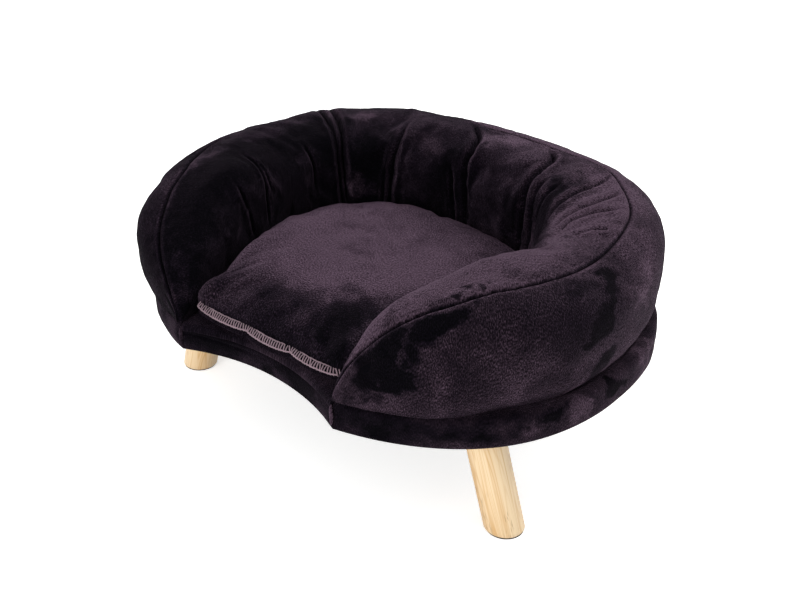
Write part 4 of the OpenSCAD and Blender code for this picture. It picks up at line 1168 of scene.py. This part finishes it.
class SOFA_OT_cushion(bpy.types.Operator):
    """Build the loose seat cushion, swollen by its filling"""

    bl_idname = "sofa.cushion"
    bl_label = "Cushion"

    def execute(self, context):
        line = cushion_line(SEAT_COLUMNS)
        out = np.sin(np.linspace(0.012, 1, SEAT_ROWS + 1) * math.pi / 2)
        full = ease(line[:, 1] / 90) * (1 - 0.85 * ease((line[:, 0] + 90) / 110))
        full = np.maximum(full, ease((-line[:, 0] - 60) / 60) * ease((line[:, 1] + 190) / 60))
        rings = [(s, self.top(s, full)) for s in out] + [(s, self.under(s, line * s)) for s in out[::-1][1:]]
        grid = np.stack([np.column_stack([line * s, z]) for s, z in rings])
        coarse = grid[THIRD]
        seam = seat_seam()
        pinned = np.zeros(coarse.shape[:2])
        pinned[SEAT_ROWS // 3:] = 1
        spare = 0.28 * ease((np.arange(len(coarse))[:, None] / (SEAT_ROWS // 3) - 0.3) / 0.6) * np.ones_like(pinned)
        coarse = coarse + (0.4 * lattice_noise(coarse, 18, 7) * (1 - pinned))[..., None] * (0, 0, 1)
        faces = grid_faces(*coarse.shape[:2], wrap=True)
        moved = swell(coarse.reshape(-1, 3), faces, pinned.ravel(), spare.ravel(), 2.0, 5.0)
        moved = finer(moved.reshape(coarse.shape), *grid.shape[:2], wrap=True)
        row = np.arange(len(grid))[:, None]
        shape = grid + moved * ease((SEAT_ROWS - row)[..., None] / 8)
        wave = 1.4 * cloudy(grid, 120, 83, 2) + 0.5 * lattice_noise(grid, 34, 87)
        upper = row < SEAT_ROWS
        shape[..., 2] += np.where(upper, wave * ease((grid[..., 2] - seam) / 12), 0)
        shape = self.corners(shape, seam, upper)
        points, faces = closed_tube(shape)
        # Painted light and shade: the top lighter towards the back and darker towards the front hem, and painted shade
        # round the sides below the crown; the underside is darker
        level = 0.66 + 0.03 * ease((points[:, 1] + 100) / 200) - 0.29 * ease((-140 - points[:, 1]) / 70)
        level = np.where(points[:, 2] < seam - 1, 0.25, level)
        side = 1 - ease((points[:, 2] - seam) / 10)
        facts = {"nap": brushed(points, 91, level - 0.2 * side, 0.7, SEAT_MARKS, 80), "fold": 0.3 * side}
        plush = plush_finish("Plush_Cushion", 1.5, 0.5, (580, 470, 1))
        piece = make_mesh("cushion_body", points, faces, plush, "cushion", points[:, :2] * MM, facts)
        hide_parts("cushion_top_panel", "cushion_bottom_panel", "cushion_fill")
        return {"FINISHED"}

    def top(self, s, full):
        """Height of the upper side at a share of the way out; it keeps its height longer towards the back."""
        rise = mm("sofa_cushion", "height") - mm("sofa_cushion", "seam")
        crown = (1 - full) * max(0, 1 - s ** 4) ** 0.42 + full * max(0, 1 - s ** 9) ** 0.4
        return seat_seam() + rise * crown

    def under(self, s, places):
        """Height of the underside, with the slot that the zip lies in."""
        seam, floor = mm("sofa_cushion", "seam"), mm("sofa_cushion", "rest")
        flat = seat_seam() - (seam - floor) * max(0, 1 - s ** 14) ** 0.5
        across, along = np.abs(places[:, 1] - ZIP_BACK), np.abs(places[:, 0] - ZIP_MIDDLE)
        return flat + 3.4 * ease((8.5 - across) / 3.5) * ease((ZIP_HALF - along) / 4)

    def corners(self, shape, seam, upper):
        """The two front corners puff up into small ears beside the ends of the hem."""
        half, reach = mm("sofa_cushion", "hem_half"), mm("sofa_cushion", "hem_reach")
        for side in (-1, 1):
            away = np.linalg.norm(shape[..., :2] - (side * (half - 6), -reach + 15), axis=-1)
            shape[..., 2] += np.where(upper, 6 * bell(away / 17) * ease((shape[..., 2] - seam) / 6), 0)
            away = np.abs(shape[..., 0] - side * (half - 30) + 0.35 * (shape[..., 1] + reach))
            shape[..., 2] -= np.where(upper, 2.2 * bell(away / 8) * ease((-reach + 60 - shape[..., 1]) / 60)
                                      * ease((shape[..., 2] - seam) / 6), 0)
        return shape


# Angle by which the overlocked edge dips towards the front
HEM_TILT = 0.6
# Where the hem is pinched, as shares of its half length from the middle
HEM_PINCHES = (-1, -0.25, 0.38, 1)


def hem_path(count):
    """The overlocked edge: three shallow scallops between four pinched points."""
    s = np.linspace(-1, 1, count)
    lobe = np.abs(np.sin(math.pi * np.interp(s, HEM_PINCHES, range(4)))) ** 0.55
    reach, half = mm("sofa_cushion", "hem_reach"), mm("sofa_cushion", "hem_half")
    seam = seat_seam()
    return np.stack([s * half, -reach + 0.6 - 5.0 * lobe, seam + 1.2 - 2.2 * lobe], axis=-1)


def tube_along(path, across, high, around=10, tilt=0.0):
    """Loops of an oval tube along a path. Its wide side points to the front and can dip by the tilt."""
    a = np.linspace(0, 2 * np.pi, around + 1)[:-1]
    ahead = np.gradient(path, axis=0)
    ahead /= np.linalg.norm(ahead, axis=-1, keepdims=True)
    out = np.cross(ahead, (0, 0, 1.0))
    out /= np.linalg.norm(out, axis=-1, keepdims=True)
    up = np.cross(out, ahead)
    dip, rise = math.sin(tilt), math.cos(tilt)
    out, up = rise * out - dip * up, rise * up + dip * out
    return path[:, None] + np.cos(a)[:, None] * out[:, None] * across + np.sin(a)[:, None] * up[:, None] * high


# The stitches' node group: its inputs, its nodes, and its links from a node's output to a node's input
STITCH_INPUTS = {"Geometry": "Geometry", "Stitch": "Object", "Step": "Float", "Slant": "Float", "Wander": "Float",
                 "Seed": "Int", "Material": "Material"}
STITCH_NODES = {
    "given": ("NodeGroupInput", {}), "line": ("GeometryNodeMeshToCurve", {}),
    "steps": ("GeometryNodeResampleCurve", {"mode": "LENGTH"}), "ahead": ("GeometryNodeInputTangent", {}),
    "turn": ("FunctionNodeAlignRotationToVector", {"axis": "X"}), "slant": ("ShaderNodeCombineXYZ", {}),
    "less": ("ShaderNodeMath", {"operation": "SUBTRACT"}), "more": ("ShaderNodeMath", {"operation": "ADD"}),
    "vary": ("FunctionNodeRandomValue", {"data_type": "FLOAT"}),
    "spin": ("FunctionNodeRotateEuler", {"rotation_type": "EULER", "space": "LOCAL"}),
    "sizes": ("FunctionNodeRandomValue", {"data_type": "FLOAT"}), "stitch": ("GeometryNodeObjectInfo", {}),
    "place": ("GeometryNodeInstanceOnPoints", {}), "real": ("GeometryNodeRealizeInstances", {}),
    "paint": ("GeometryNodeSetMaterial", {}), "done": ("NodeGroupOutput", {}),
}
STITCH_LINKS = (
    ("given", "Geometry", "line", "Mesh"), ("line", 0, "steps", "Curve"), ("given", "Step", "steps", "Length"),
    ("ahead", 0, "turn", "Vector"), ("given", "Slant", "less", 0), ("given", "Wander", "less", 1),
    ("given", "Slant", "more", 0), ("given", "Wander", "more", 1), ("less", 0, "vary", 2), ("more", 0, "vary", 3),
    ("given", "Seed", "vary", "Seed"), ("vary", 1, "slant", "Z"), ("turn", 0, "spin", 0),
    ("slant", 0, "spin", "Rotate By"), ("given", "Seed", "sizes", "Seed"), ("given", "Stitch", "stitch", "Object"),
    ("steps", 0, "place", "Points"), ("stitch", "Geometry", "place", "Instance"), ("spin", 0, "place", "Rotation"),
    ("sizes", 1, "place", "Scale"), ("place", 0, "real", 0), ("real", 0, "paint", "Geometry"),
    ("given", "Material", "paint", "Material"), ("paint", 0, "done", 0),
)
# Smallest and largest stitch, as shares of the one that is repeated
STITCH_SIZES = (0.88, 1.08)


def stitch_nodes():
    """Sets a stitch at even steps along a line, each turned and sized a little differently."""
    tree = bpy.data.node_groups.new("Overlock_Stitches", "GeometryNodeTree")
    for name, kind in STITCH_INPUTS.items():
        tree.interface.new_socket(name, in_out="INPUT", socket_type=f"NodeSocket{kind}")
    tree.interface.new_socket("Geometry", in_out="OUTPUT", socket_type="NodeSocketGeometry")
    nodes = {}
    for name, (kind, facts) in STITCH_NODES.items():
        nodes[name] = tree.nodes.new(kind)
        for key, value in facts.items():
            setattr(nodes[name], key, value)
    for source, output, target, socket in STITCH_LINKS:
        tree.links.new(nodes[source].outputs[output], nodes[target].inputs[socket])
    for socket, size in zip(nodes["sizes"].inputs[2:4], STITCH_SIZES):
        socket.default_value = size
    return tree


def repeat_along(name, path, stitch, values):
    """A mesh of stitches along a path, worked out by geometry nodes and kept as a plain mesh."""
    line = bpy.data.meshes.new("Line")
    line.from_pydata(((path + (0, PLAN_SHIFT, 0)) * MM).tolist(), [(k, k + 1) for k in range(len(path) - 1)], [])
    holder = add_object("Line", line)
    modifier = holder.modifiers.new("Stitches", "NODES")
    tree = modifier.node_group = stitch_nodes()
    names = {item.name: item.identifier for item in tree.interface.items_tree if item.in_out == "INPUT"}
    for key, value in {"Stitch": stitch, **values}.items():
        modifier[names[key]] = value
    done = holder.evaluated_get(bpy.context.evaluated_depsgraph_get())
    mesh = bpy.data.meshes.new_from_object(done)
    mesh.name = name
    piece = add_object(name, mesh)
    bpy.data.objects.remove(holder)
    bpy.data.meshes.remove(line)
    bpy.data.node_groups.remove(tree)
    return piece


class SOFA_OT_overlock(bpy.types.Operator):
    """Roll the raw front hem and wrap it with overlock stitches"""

    bl_idname = "sofa.overlock"
    bl_label = "Overlocked hem"

    def execute(self, context):
        path = hem_path(240)
        width = mm("sofa_cushion", "overlock")
        edge = plush_finish("Plush_Edge", 0.9)
        roll = tube_along(path, width / 2 - 0.5, 1.6, 16, HEM_TILT)
        roll = roll + 0.3 * shake(roll, 4, 5)
        drop = 2.6 * bell((path[:, 0] + 10) / 60)
        lip = (path + (0, 1.2, -6.6)) * (0.985, 1, 1)
        lip[:, 2] -= drop
        under = tube_along(lip, 5.2, 1.9, 12, 0.35)
        under = under + 0.5 * shake(under, 12, 15)
        for name, loops, nap in (("hem_roll", roll, 0.06), ("hem_lip", under, 0.22)):
            points, faces = closed_tube(loops)
            # An even slight painted shade on the roll and the lip through fold
            facts = {"nap": np.full(len(points), nap), "fold": np.full(len(points), 0.1)}
            piece = make_mesh(name, points, faces, edge, "cushion", points[:, :2] * MM, facts)
            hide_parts("cushion_overlock_edge")
        thread = thread_finish()
        self.stitches(path, width, thread)
        for name, side, thick in (("hem_thread_upper", -1, 0.7), ("hem_thread_lower", 1, 0.9)):
            reach = side * (width / 2 - thick * 0.6)
            wave = path + (0, -reach * math.cos(HEM_TILT), 0.9 - reach * math.sin(HEM_TILT))
            wave = wave + 0.4 * shake(path, 3.2, 40)
            points, faces = closed_tube(tube_along(wave, thick, thick, 8))
            piece = make_mesh(name, points, faces, thread, "cushion")
            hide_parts("cushion_overlock_edge")
        return {"FINISHED"}

    def stitches(self, path, width, thread):
        """One thread loop wraps the rolled edge; the nodes repeat it along the hem."""
        a = np.linspace(0, 2 * np.pi, 33)[:-1]
        half, high, thick = (width / 2 - 0.1) * MM, 2.1 * MM, 0.78 * MM
        centre = np.stack([0.3 * MM * np.sin(2 * a), half * np.cos(a), high * np.sin(a)], axis=-1)
        out = np.stack([0 * a, np.cos(a), np.sin(a)], axis=-1)
        dip = np.array([[1, 0, 0], [0, math.cos(HEM_TILT), math.sin(HEM_TILT)],
                        [0, -math.sin(HEM_TILT), math.cos(HEM_TILT)]])
        centre, out = centre @ dip, out @ dip
        b = np.linspace(0, 2 * np.pi, 7)[:-1]
        ring = centre[:, None] + thick * (np.cos(b)[:, None] * out[:, None] + np.sin(b)[:, None] * np.array([1, 0, 0]))
        count, around = ring.shape[:2]
        index = np.arange(count * around).reshape(count, around)
        nxt = np.roll(index, -1, 0)
        faces = np.stack([index, nxt, np.roll(nxt, -1, 1), np.roll(index, -1, 1)], axis=-1).reshape(-1, 4)
        mesh = new_mesh("Stitch", ring.reshape(-1, 3), faces)
        stitch = add_object("Stitch", mesh)
        piece = repeat_along("hem_stitches", path, stitch, {
            "Step": settings("sofa_cushion").stitch, "Slant": 0.42, "Wander": 0.3, "Seed": 4, "Material": thread})
        bpy.data.objects.remove(stitch)
        bpy.data.meshes.remove(mesh)
        outward(piece.data)
        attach(piece, "cushion")
        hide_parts("cushion_overlock_edge")


# How far each leg reaches up past the base's underside
LEG_IN_BOARD = 1.8


class SOFA_OT_legs(bpy.types.Operator):
    """Turn the four splayed pine legs"""

    bl_idname = "sofa.legs"
    bl_label = "Legs"

    def execute(self, context):
        s = context.scene.sofa_legs
        pine = pine_finish()
        a = np.linspace(0, 2 * np.pi, 97)[:-1]
        pad, cut, radius = mm("sofa_legs", "pad"), mm("sofa_legs", "chamfer"), mm("sofa_legs", "diameter") / 2
        high = underside() + LEG_IN_BOARD
        heights = [pad, pad + cut, *np.linspace(pad + 5, high - 1, 12), high]
        for name, x, y in (("front_left", -s.front_x, -s.front_y), ("front_right", s.front_x, -s.front_y),
                           ("rear_left", -s.rear_x, s.rear_y), ("rear_right", s.rear_x, s.rear_y)):
            lean = math.copysign(s.splay, x)
            axis = np.array([-math.sin(lean), 0, math.cos(lean)])
            side = np.array([math.cos(lean), 0, math.sin(lean)])
            foot = np.array([x / MM, y / MM, 0])
            rings = []
            for k, z in enumerate(heights):
                r = radius - cut if k == 0 else radius
                spoke = r * (np.cos(a)[:, None] * side + np.sin(a)[:, None] * np.array([0, 1, 0]))
                rings.append(foot + spoke + ((z - spoke[:, 2:]) / axis[2]) * axis)
            points, faces = closed_tube(np.stack(rings))
            at = points - foot
            uv = np.stack([np.arctan2(at[:, 1], at @ side) * radius, at @ axis], axis=-1) * MM
            # Each leg is cut from another place of the grain
            uv += (round(x * 37, 2), round(y * 53, 2))
            piece = make_mesh(f"leg_turned_{name}", points, faces, pine, "frame", uv)
            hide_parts(f"leg_{name}")
        return {"FINISHED"}


class SOFA_OT_hardware(bpy.types.Operator):
    """Finish the board, staples, pads, bolts, nuts and the zip's metal and teeth"""

    bl_idname = "sofa.hardware"
    bl_label = "Hardware"

    def execute(self, context):
        steel = metal_finish("Zinc_Steel", (0.55, 0.56, 0.58))
        finishes = {
            "base_board": ply_finish(),
            "cover_staples": steel, "foot_pad": felt_finish(), "hanger_bolt": steel, "tee_nut": steel,
            "zip_chain": woven_finish("Zip_Teeth", (0.05, 0.035, 0.05), (0.03, 0.02, 0.03), 300.0, 0.45),
            "zip": metal_finish("Zip_Metal", (0.42, 0.40, 0.42), 0.3)}
        for node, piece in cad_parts.items():
            for start, material in finishes.items():
                if node.startswith(start):
                    piece.data.materials.clear()
                    piece.data.materials.append(material)
                    break
        return {"FINISHED"}


# Gap between each leg and its hole in the dust sheet
LEG_HOLE_FIT = 0.003
# How far from the zip's middle its tapes begin to rise into the cushion, over what length and how far
TAPE_RISE_FROM, TAPE_RISE_LENGTH, TAPE_RISE = 136, 5, 1.4


class SOFA_OT_sheets(bpy.types.Operator):
    """Hang the dust cover under the board and lay the two woven zip tapes"""

    bl_idname = "sofa.sheets"
    bl_label = "Dust cover and zip tapes"

    def execute(self, context):
        self.dust_cover()
        tape = woven_finish("Zip_Tape", (0.045, 0.030, 0.045), (0.012, 0.008, 0.013), 2200.0)
        for name in ("front", "rear"):
            low, high = (np.array(corner) / MM - (0, PLAN_SHIFT, 0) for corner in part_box(f"zip_tape_{name}"))
            x, y = np.linspace(low[0], high[0], 143), np.linspace(low[1], high[1], 8)
            grid = np.stack(np.meshgrid(x, y, indexing="ij"), axis=-1)
            wave = 0.05 * lattice_noise(np.pad(grid, ((0, 0), (0, 0), (0, 1))), 9, 3)
            wave = wave + TAPE_RISE * ease((np.abs(grid[..., 0] - ZIP_MIDDLE) - TAPE_RISE_FROM) / TAPE_RISE_LENGTH)
            sides = [np.concatenate([grid, (z + wave)[..., None]], axis=-1) for z in (low[2], high[2])]
            piece = self.slab(f"woven_zip_tape_{name}", sides, tape, "cushion", "zip_tape")
            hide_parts(f"zip_tape_{name}")
        return {"FINISHED"}

    def slab(self, name, sides, material, body, slot):
        """A closed sheet between two grids of points, the lower and the upper."""
        rows, columns = sides[0].shape[:2]
        count = rows * columns
        points = np.concatenate([side.reshape(-1, 3) for side in sides])
        faces = grid_faces(rows, columns) + [f[::-1] for f in grid_faces(rows, columns, start=count)]
        index = np.arange(count).reshape(rows, columns)
        rim = np.concatenate([index[0], index[1:, -1], index[-1, -2::-1], index[-2:0:-1, 0]])
        nxt = np.roll(rim, -1)
        faces += [(a, b, b + count, a + count) for a, b in zip(rim, nxt)]
        return make_mesh(name, points, faces, material, body)

    def dust_cover(self):
        """A sheet of thin black cloth that sags a little between its staples, with a hole round each leg."""
        low = underside() - 0.2
        edge = np.concatenate([side_line(9.0, 260), scoop_line(9.0, 60)[1:-1]])
        shares = np.sin(np.linspace(1, 0.004, 34) * math.pi / 2)
        grid = np.stack([np.column_stack([edge * s, np.full(len(edge), low)]) for s in shares])
        inward = (1 - shares)[:, None] * 250
        sag = 2.4 * ease((inward - 20) / 90) + 0.8 * cloudy(grid, 80, 5, 2) * ease((inward - 18) / 40)
        loops = [grid - np.array([0, 0, 1]) * np.maximum(sag, 0)[..., None]]
        loops.append(loops[0] + (0, 0, 0.5))
        rows, columns = grid.shape[:2]
        count = rows * columns
        points = np.concatenate([*(g.reshape(-1, 3) for g in loops), [g[-1].mean(axis=0) for g in loops]])
        faces = grid_faces(rows, columns, wrap=True)
        faces += [f[::-1] for f in grid_faces(rows, columns, wrap=True, start=count)]
        last = (rows - 1) * columns
        for k in range(columns):
            n = (k + 1) % columns
            faces += [(last + k, last + n, 2 * count), (count + last + n, count + last + k, 2 * count + 1),
                      (n, k, count + k, count + n)]
        cloth = woven_finish("Dust_Cloth", (0.030, 0.030, 0.032), (0.008, 0.008, 0.009), 500.0)
        whole = make_mesh("dust_sheet_whole", points, faces, cloth, "frame")
        piece = self.cut_round_legs(whole, low)
        area = sum(face.area for face in piece.data.polygons) / 2
        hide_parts("dust_cover")

    def cut_round_legs(self, whole, low):
        """The sheet with a round hole where each leg comes through."""
        s = settings("sofa_legs")
        shape = bmesh.new()
        radius = s.diameter / 2 + LEG_HOLE_FIT
        for side, (x, y) in product((-1, 1), ((s.front_x, -s.front_y), (s.rear_x, s.rear_y))):
            place = Vector((side * (x - low * MM * math.tan(s.splay)), y + PLAN_SHIFT * MM, low * MM))
            bmesh.ops.create_cone(shape, cap_ends=True, segments=48, radius1=radius, radius2=radius, depth=0.02,
                                  matrix=Matrix.Translation(place))
        mesh = bpy.data.meshes.new("Leg_holes")
        shape.to_mesh(mesh)
        shape.free()
        holes = add_object("Leg_holes", mesh)
        cut = whole.modifiers.new("Holes", "BOOLEAN")
        cut.object, cut.operation, cut.solver = holes, "DIFFERENCE", "EXACT"
        done = whole.evaluated_get(bpy.context.evaluated_depsgraph_get())
        piece = add_object("dust_sheet", bpy.data.meshes.new_from_object(done))
        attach(piece, "frame")
        for spent in (whole, holes):
            bpy.data.objects.remove(spent)
        return piece


# Rays that see the white surroundings at full strength
BACKGROUND_RAYS = ("Is Camera Ray", "Is Glossy Ray", "Is Transmission Ray")
# Each lamp's place, width, multiple of the power setting, and the height that it points at over the origin
LAMPS = {"Back": ((0.9, 1.5, 1.7), 1.5, 3.4, 0.2), "Overhead": ((-0.2, 0.1, 2.0), 1.6, 1.1, 0.2),
         "Front": ((0.1, -2.4, 0.8), 1.4, 2.7, 0.1)}
CAMERA_PLACE, CAMERA_AIM = (0.8217, -0.9419 + PLAN_SHIFT * MM, 0.8510), (-0.5711, 0.6624, -0.4848)
FLOOR_HALF, FLOOR_GLOW = 9, 0.58


def background_rays(tree):
    """1 for rays that see the surroundings as white, 0 for those that only light the bed."""
    path = tree.nodes.new("ShaderNodeLightPath")
    seen = path.outputs[BACKGROUND_RAYS[0]]
    for ray in BACKGROUND_RAYS[1:]:
        either = tree.nodes.new("ShaderNodeMath")
        either.operation = "MAXIMUM"
        tree.links.new(seen, either.inputs[0])
        tree.links.new(path.outputs[ray], either.inputs[1])
        seen = either.outputs[0]
    return seen


class SOFA_OT_stage(bpy.types.Operator):
    """Set the pale floor, the lights and the camera"""

    bl_idname = "sofa.stage"
    bl_label = "Stage"

    def execute(self, context):
        s = context.scene.sofa_stage
        scene = context.scene
        scene.view_settings.view_transform = "Standard"
        self.floor()
        world = bpy.data.worlds.new("Studio")
        scene.world = world
        world.use_nodes = True
        tree = world.node_tree
        back = tree.nodes["Background"]
        level = tree.nodes.new("ShaderNodeMapRange")
        level.inputs["To Min"].default_value = s.fill
        level.inputs["To Max"].default_value = 1.0
        tree.links.new(background_rays(tree), level.inputs["Value"])
        tree.links.new(level.outputs[0], back.inputs["Strength"])
        back.inputs["Color"].default_value = (1, 1, 1, 1)
        for name, (place, size, multiple, height) in LAMPS.items():
            lamp = bpy.data.lights.new(name, "AREA")
            lamp.shape, lamp.size, lamp.energy = "DISK", size, s.lamp * multiple
            self.stand(name, lamp, place, Vector((0, 0, height)) - Vector(place))
        camera = self.stand("Camera", bpy.data.cameras.new("Camera"), CAMERA_PLACE, Vector(CAMERA_AIM))
        camera.data.lens, camera.data.sensor_width = s.lens, 36
        camera.data.clip_start, camera.data.clip_end = 0.05, 50
        scene.camera = camera
        return {"FINISHED"}

    def stand(self, name, data, place, ahead):
        """A lamp or camera at a place, facing ahead."""
        holder = add_object(name, data)
        holder.location = place
        holder.rotation_euler = ahead.to_track_quat("-Z", "Y").to_euler()
        return holder

    def floor(self):
        corners = np.array([(-1, -1, 0), (1, -1, 0), (1, 1, 0), (-1, 1, 0)]) * FLOOR_HALF
        mesh = new_mesh("Floor", corners, [(0, 1, 2, 3)])
        piece = add_object("Floor", mesh)
        f = Finish("Pale_Floor")
        glow = Wire(f, background_rays(f.tree)) * FLOOR_GLOW
        f.surface(Base_Color=(0.90, 0.90, 0.895), Roughness=0.9, Specular_IOR_Level=0.1, Emission_Color=glow,
                  Emission_Strength=1)
        mesh.materials.append(f.material)


class SOFA_PT_panel(bpy.types.Panel):
    """Lists the steps that build the sofa bed"""

    bl_label = "Dog Sofa Bed"
    bl_idname = "SOFA_PT_panel"
    bl_space_type = "VIEW_3D"
    bl_region_type = "UI"
    bl_category = "Dog Sofa Bed"

    def draw(self, context):
        for step in STEPS:
            self.layout.operator(step.bl_idname)
        for name, group in SETTINGS.items():
            column = self.layout.column(align=True)
            for field in group.__annotations__:
                column.prop(getattr(context.scene, name), field)


STEPS = (SOFA_OT_stage, SOFA_OT_base, SOFA_OT_bolster, SOFA_OT_cushion, SOFA_OT_overlock, SOFA_OT_legs,
         SOFA_OT_sheets, SOFA_OT_hardware)
CLASSES = (*SETTINGS.values(), *STEPS, SOFA_PT_panel)


def register():
    for item in CLASSES:
        bpy.utils.register_class(item)
    for name, group in SETTINGS.items():
        setattr(bpy.types.Scene, name, PointerProperty(type=group))


def unregister():
    for name in SETTINGS:
        delattr(bpy.types.Scene, name)
    for item in reversed(CLASSES):
        bpy.utils.unregister_class(item)


def main():
    register()
    for step in STEPS:
        getattr(bpy.ops.sofa, step.bl_idname.split(".")[1])()


if __name__ == "__main__":
    main()
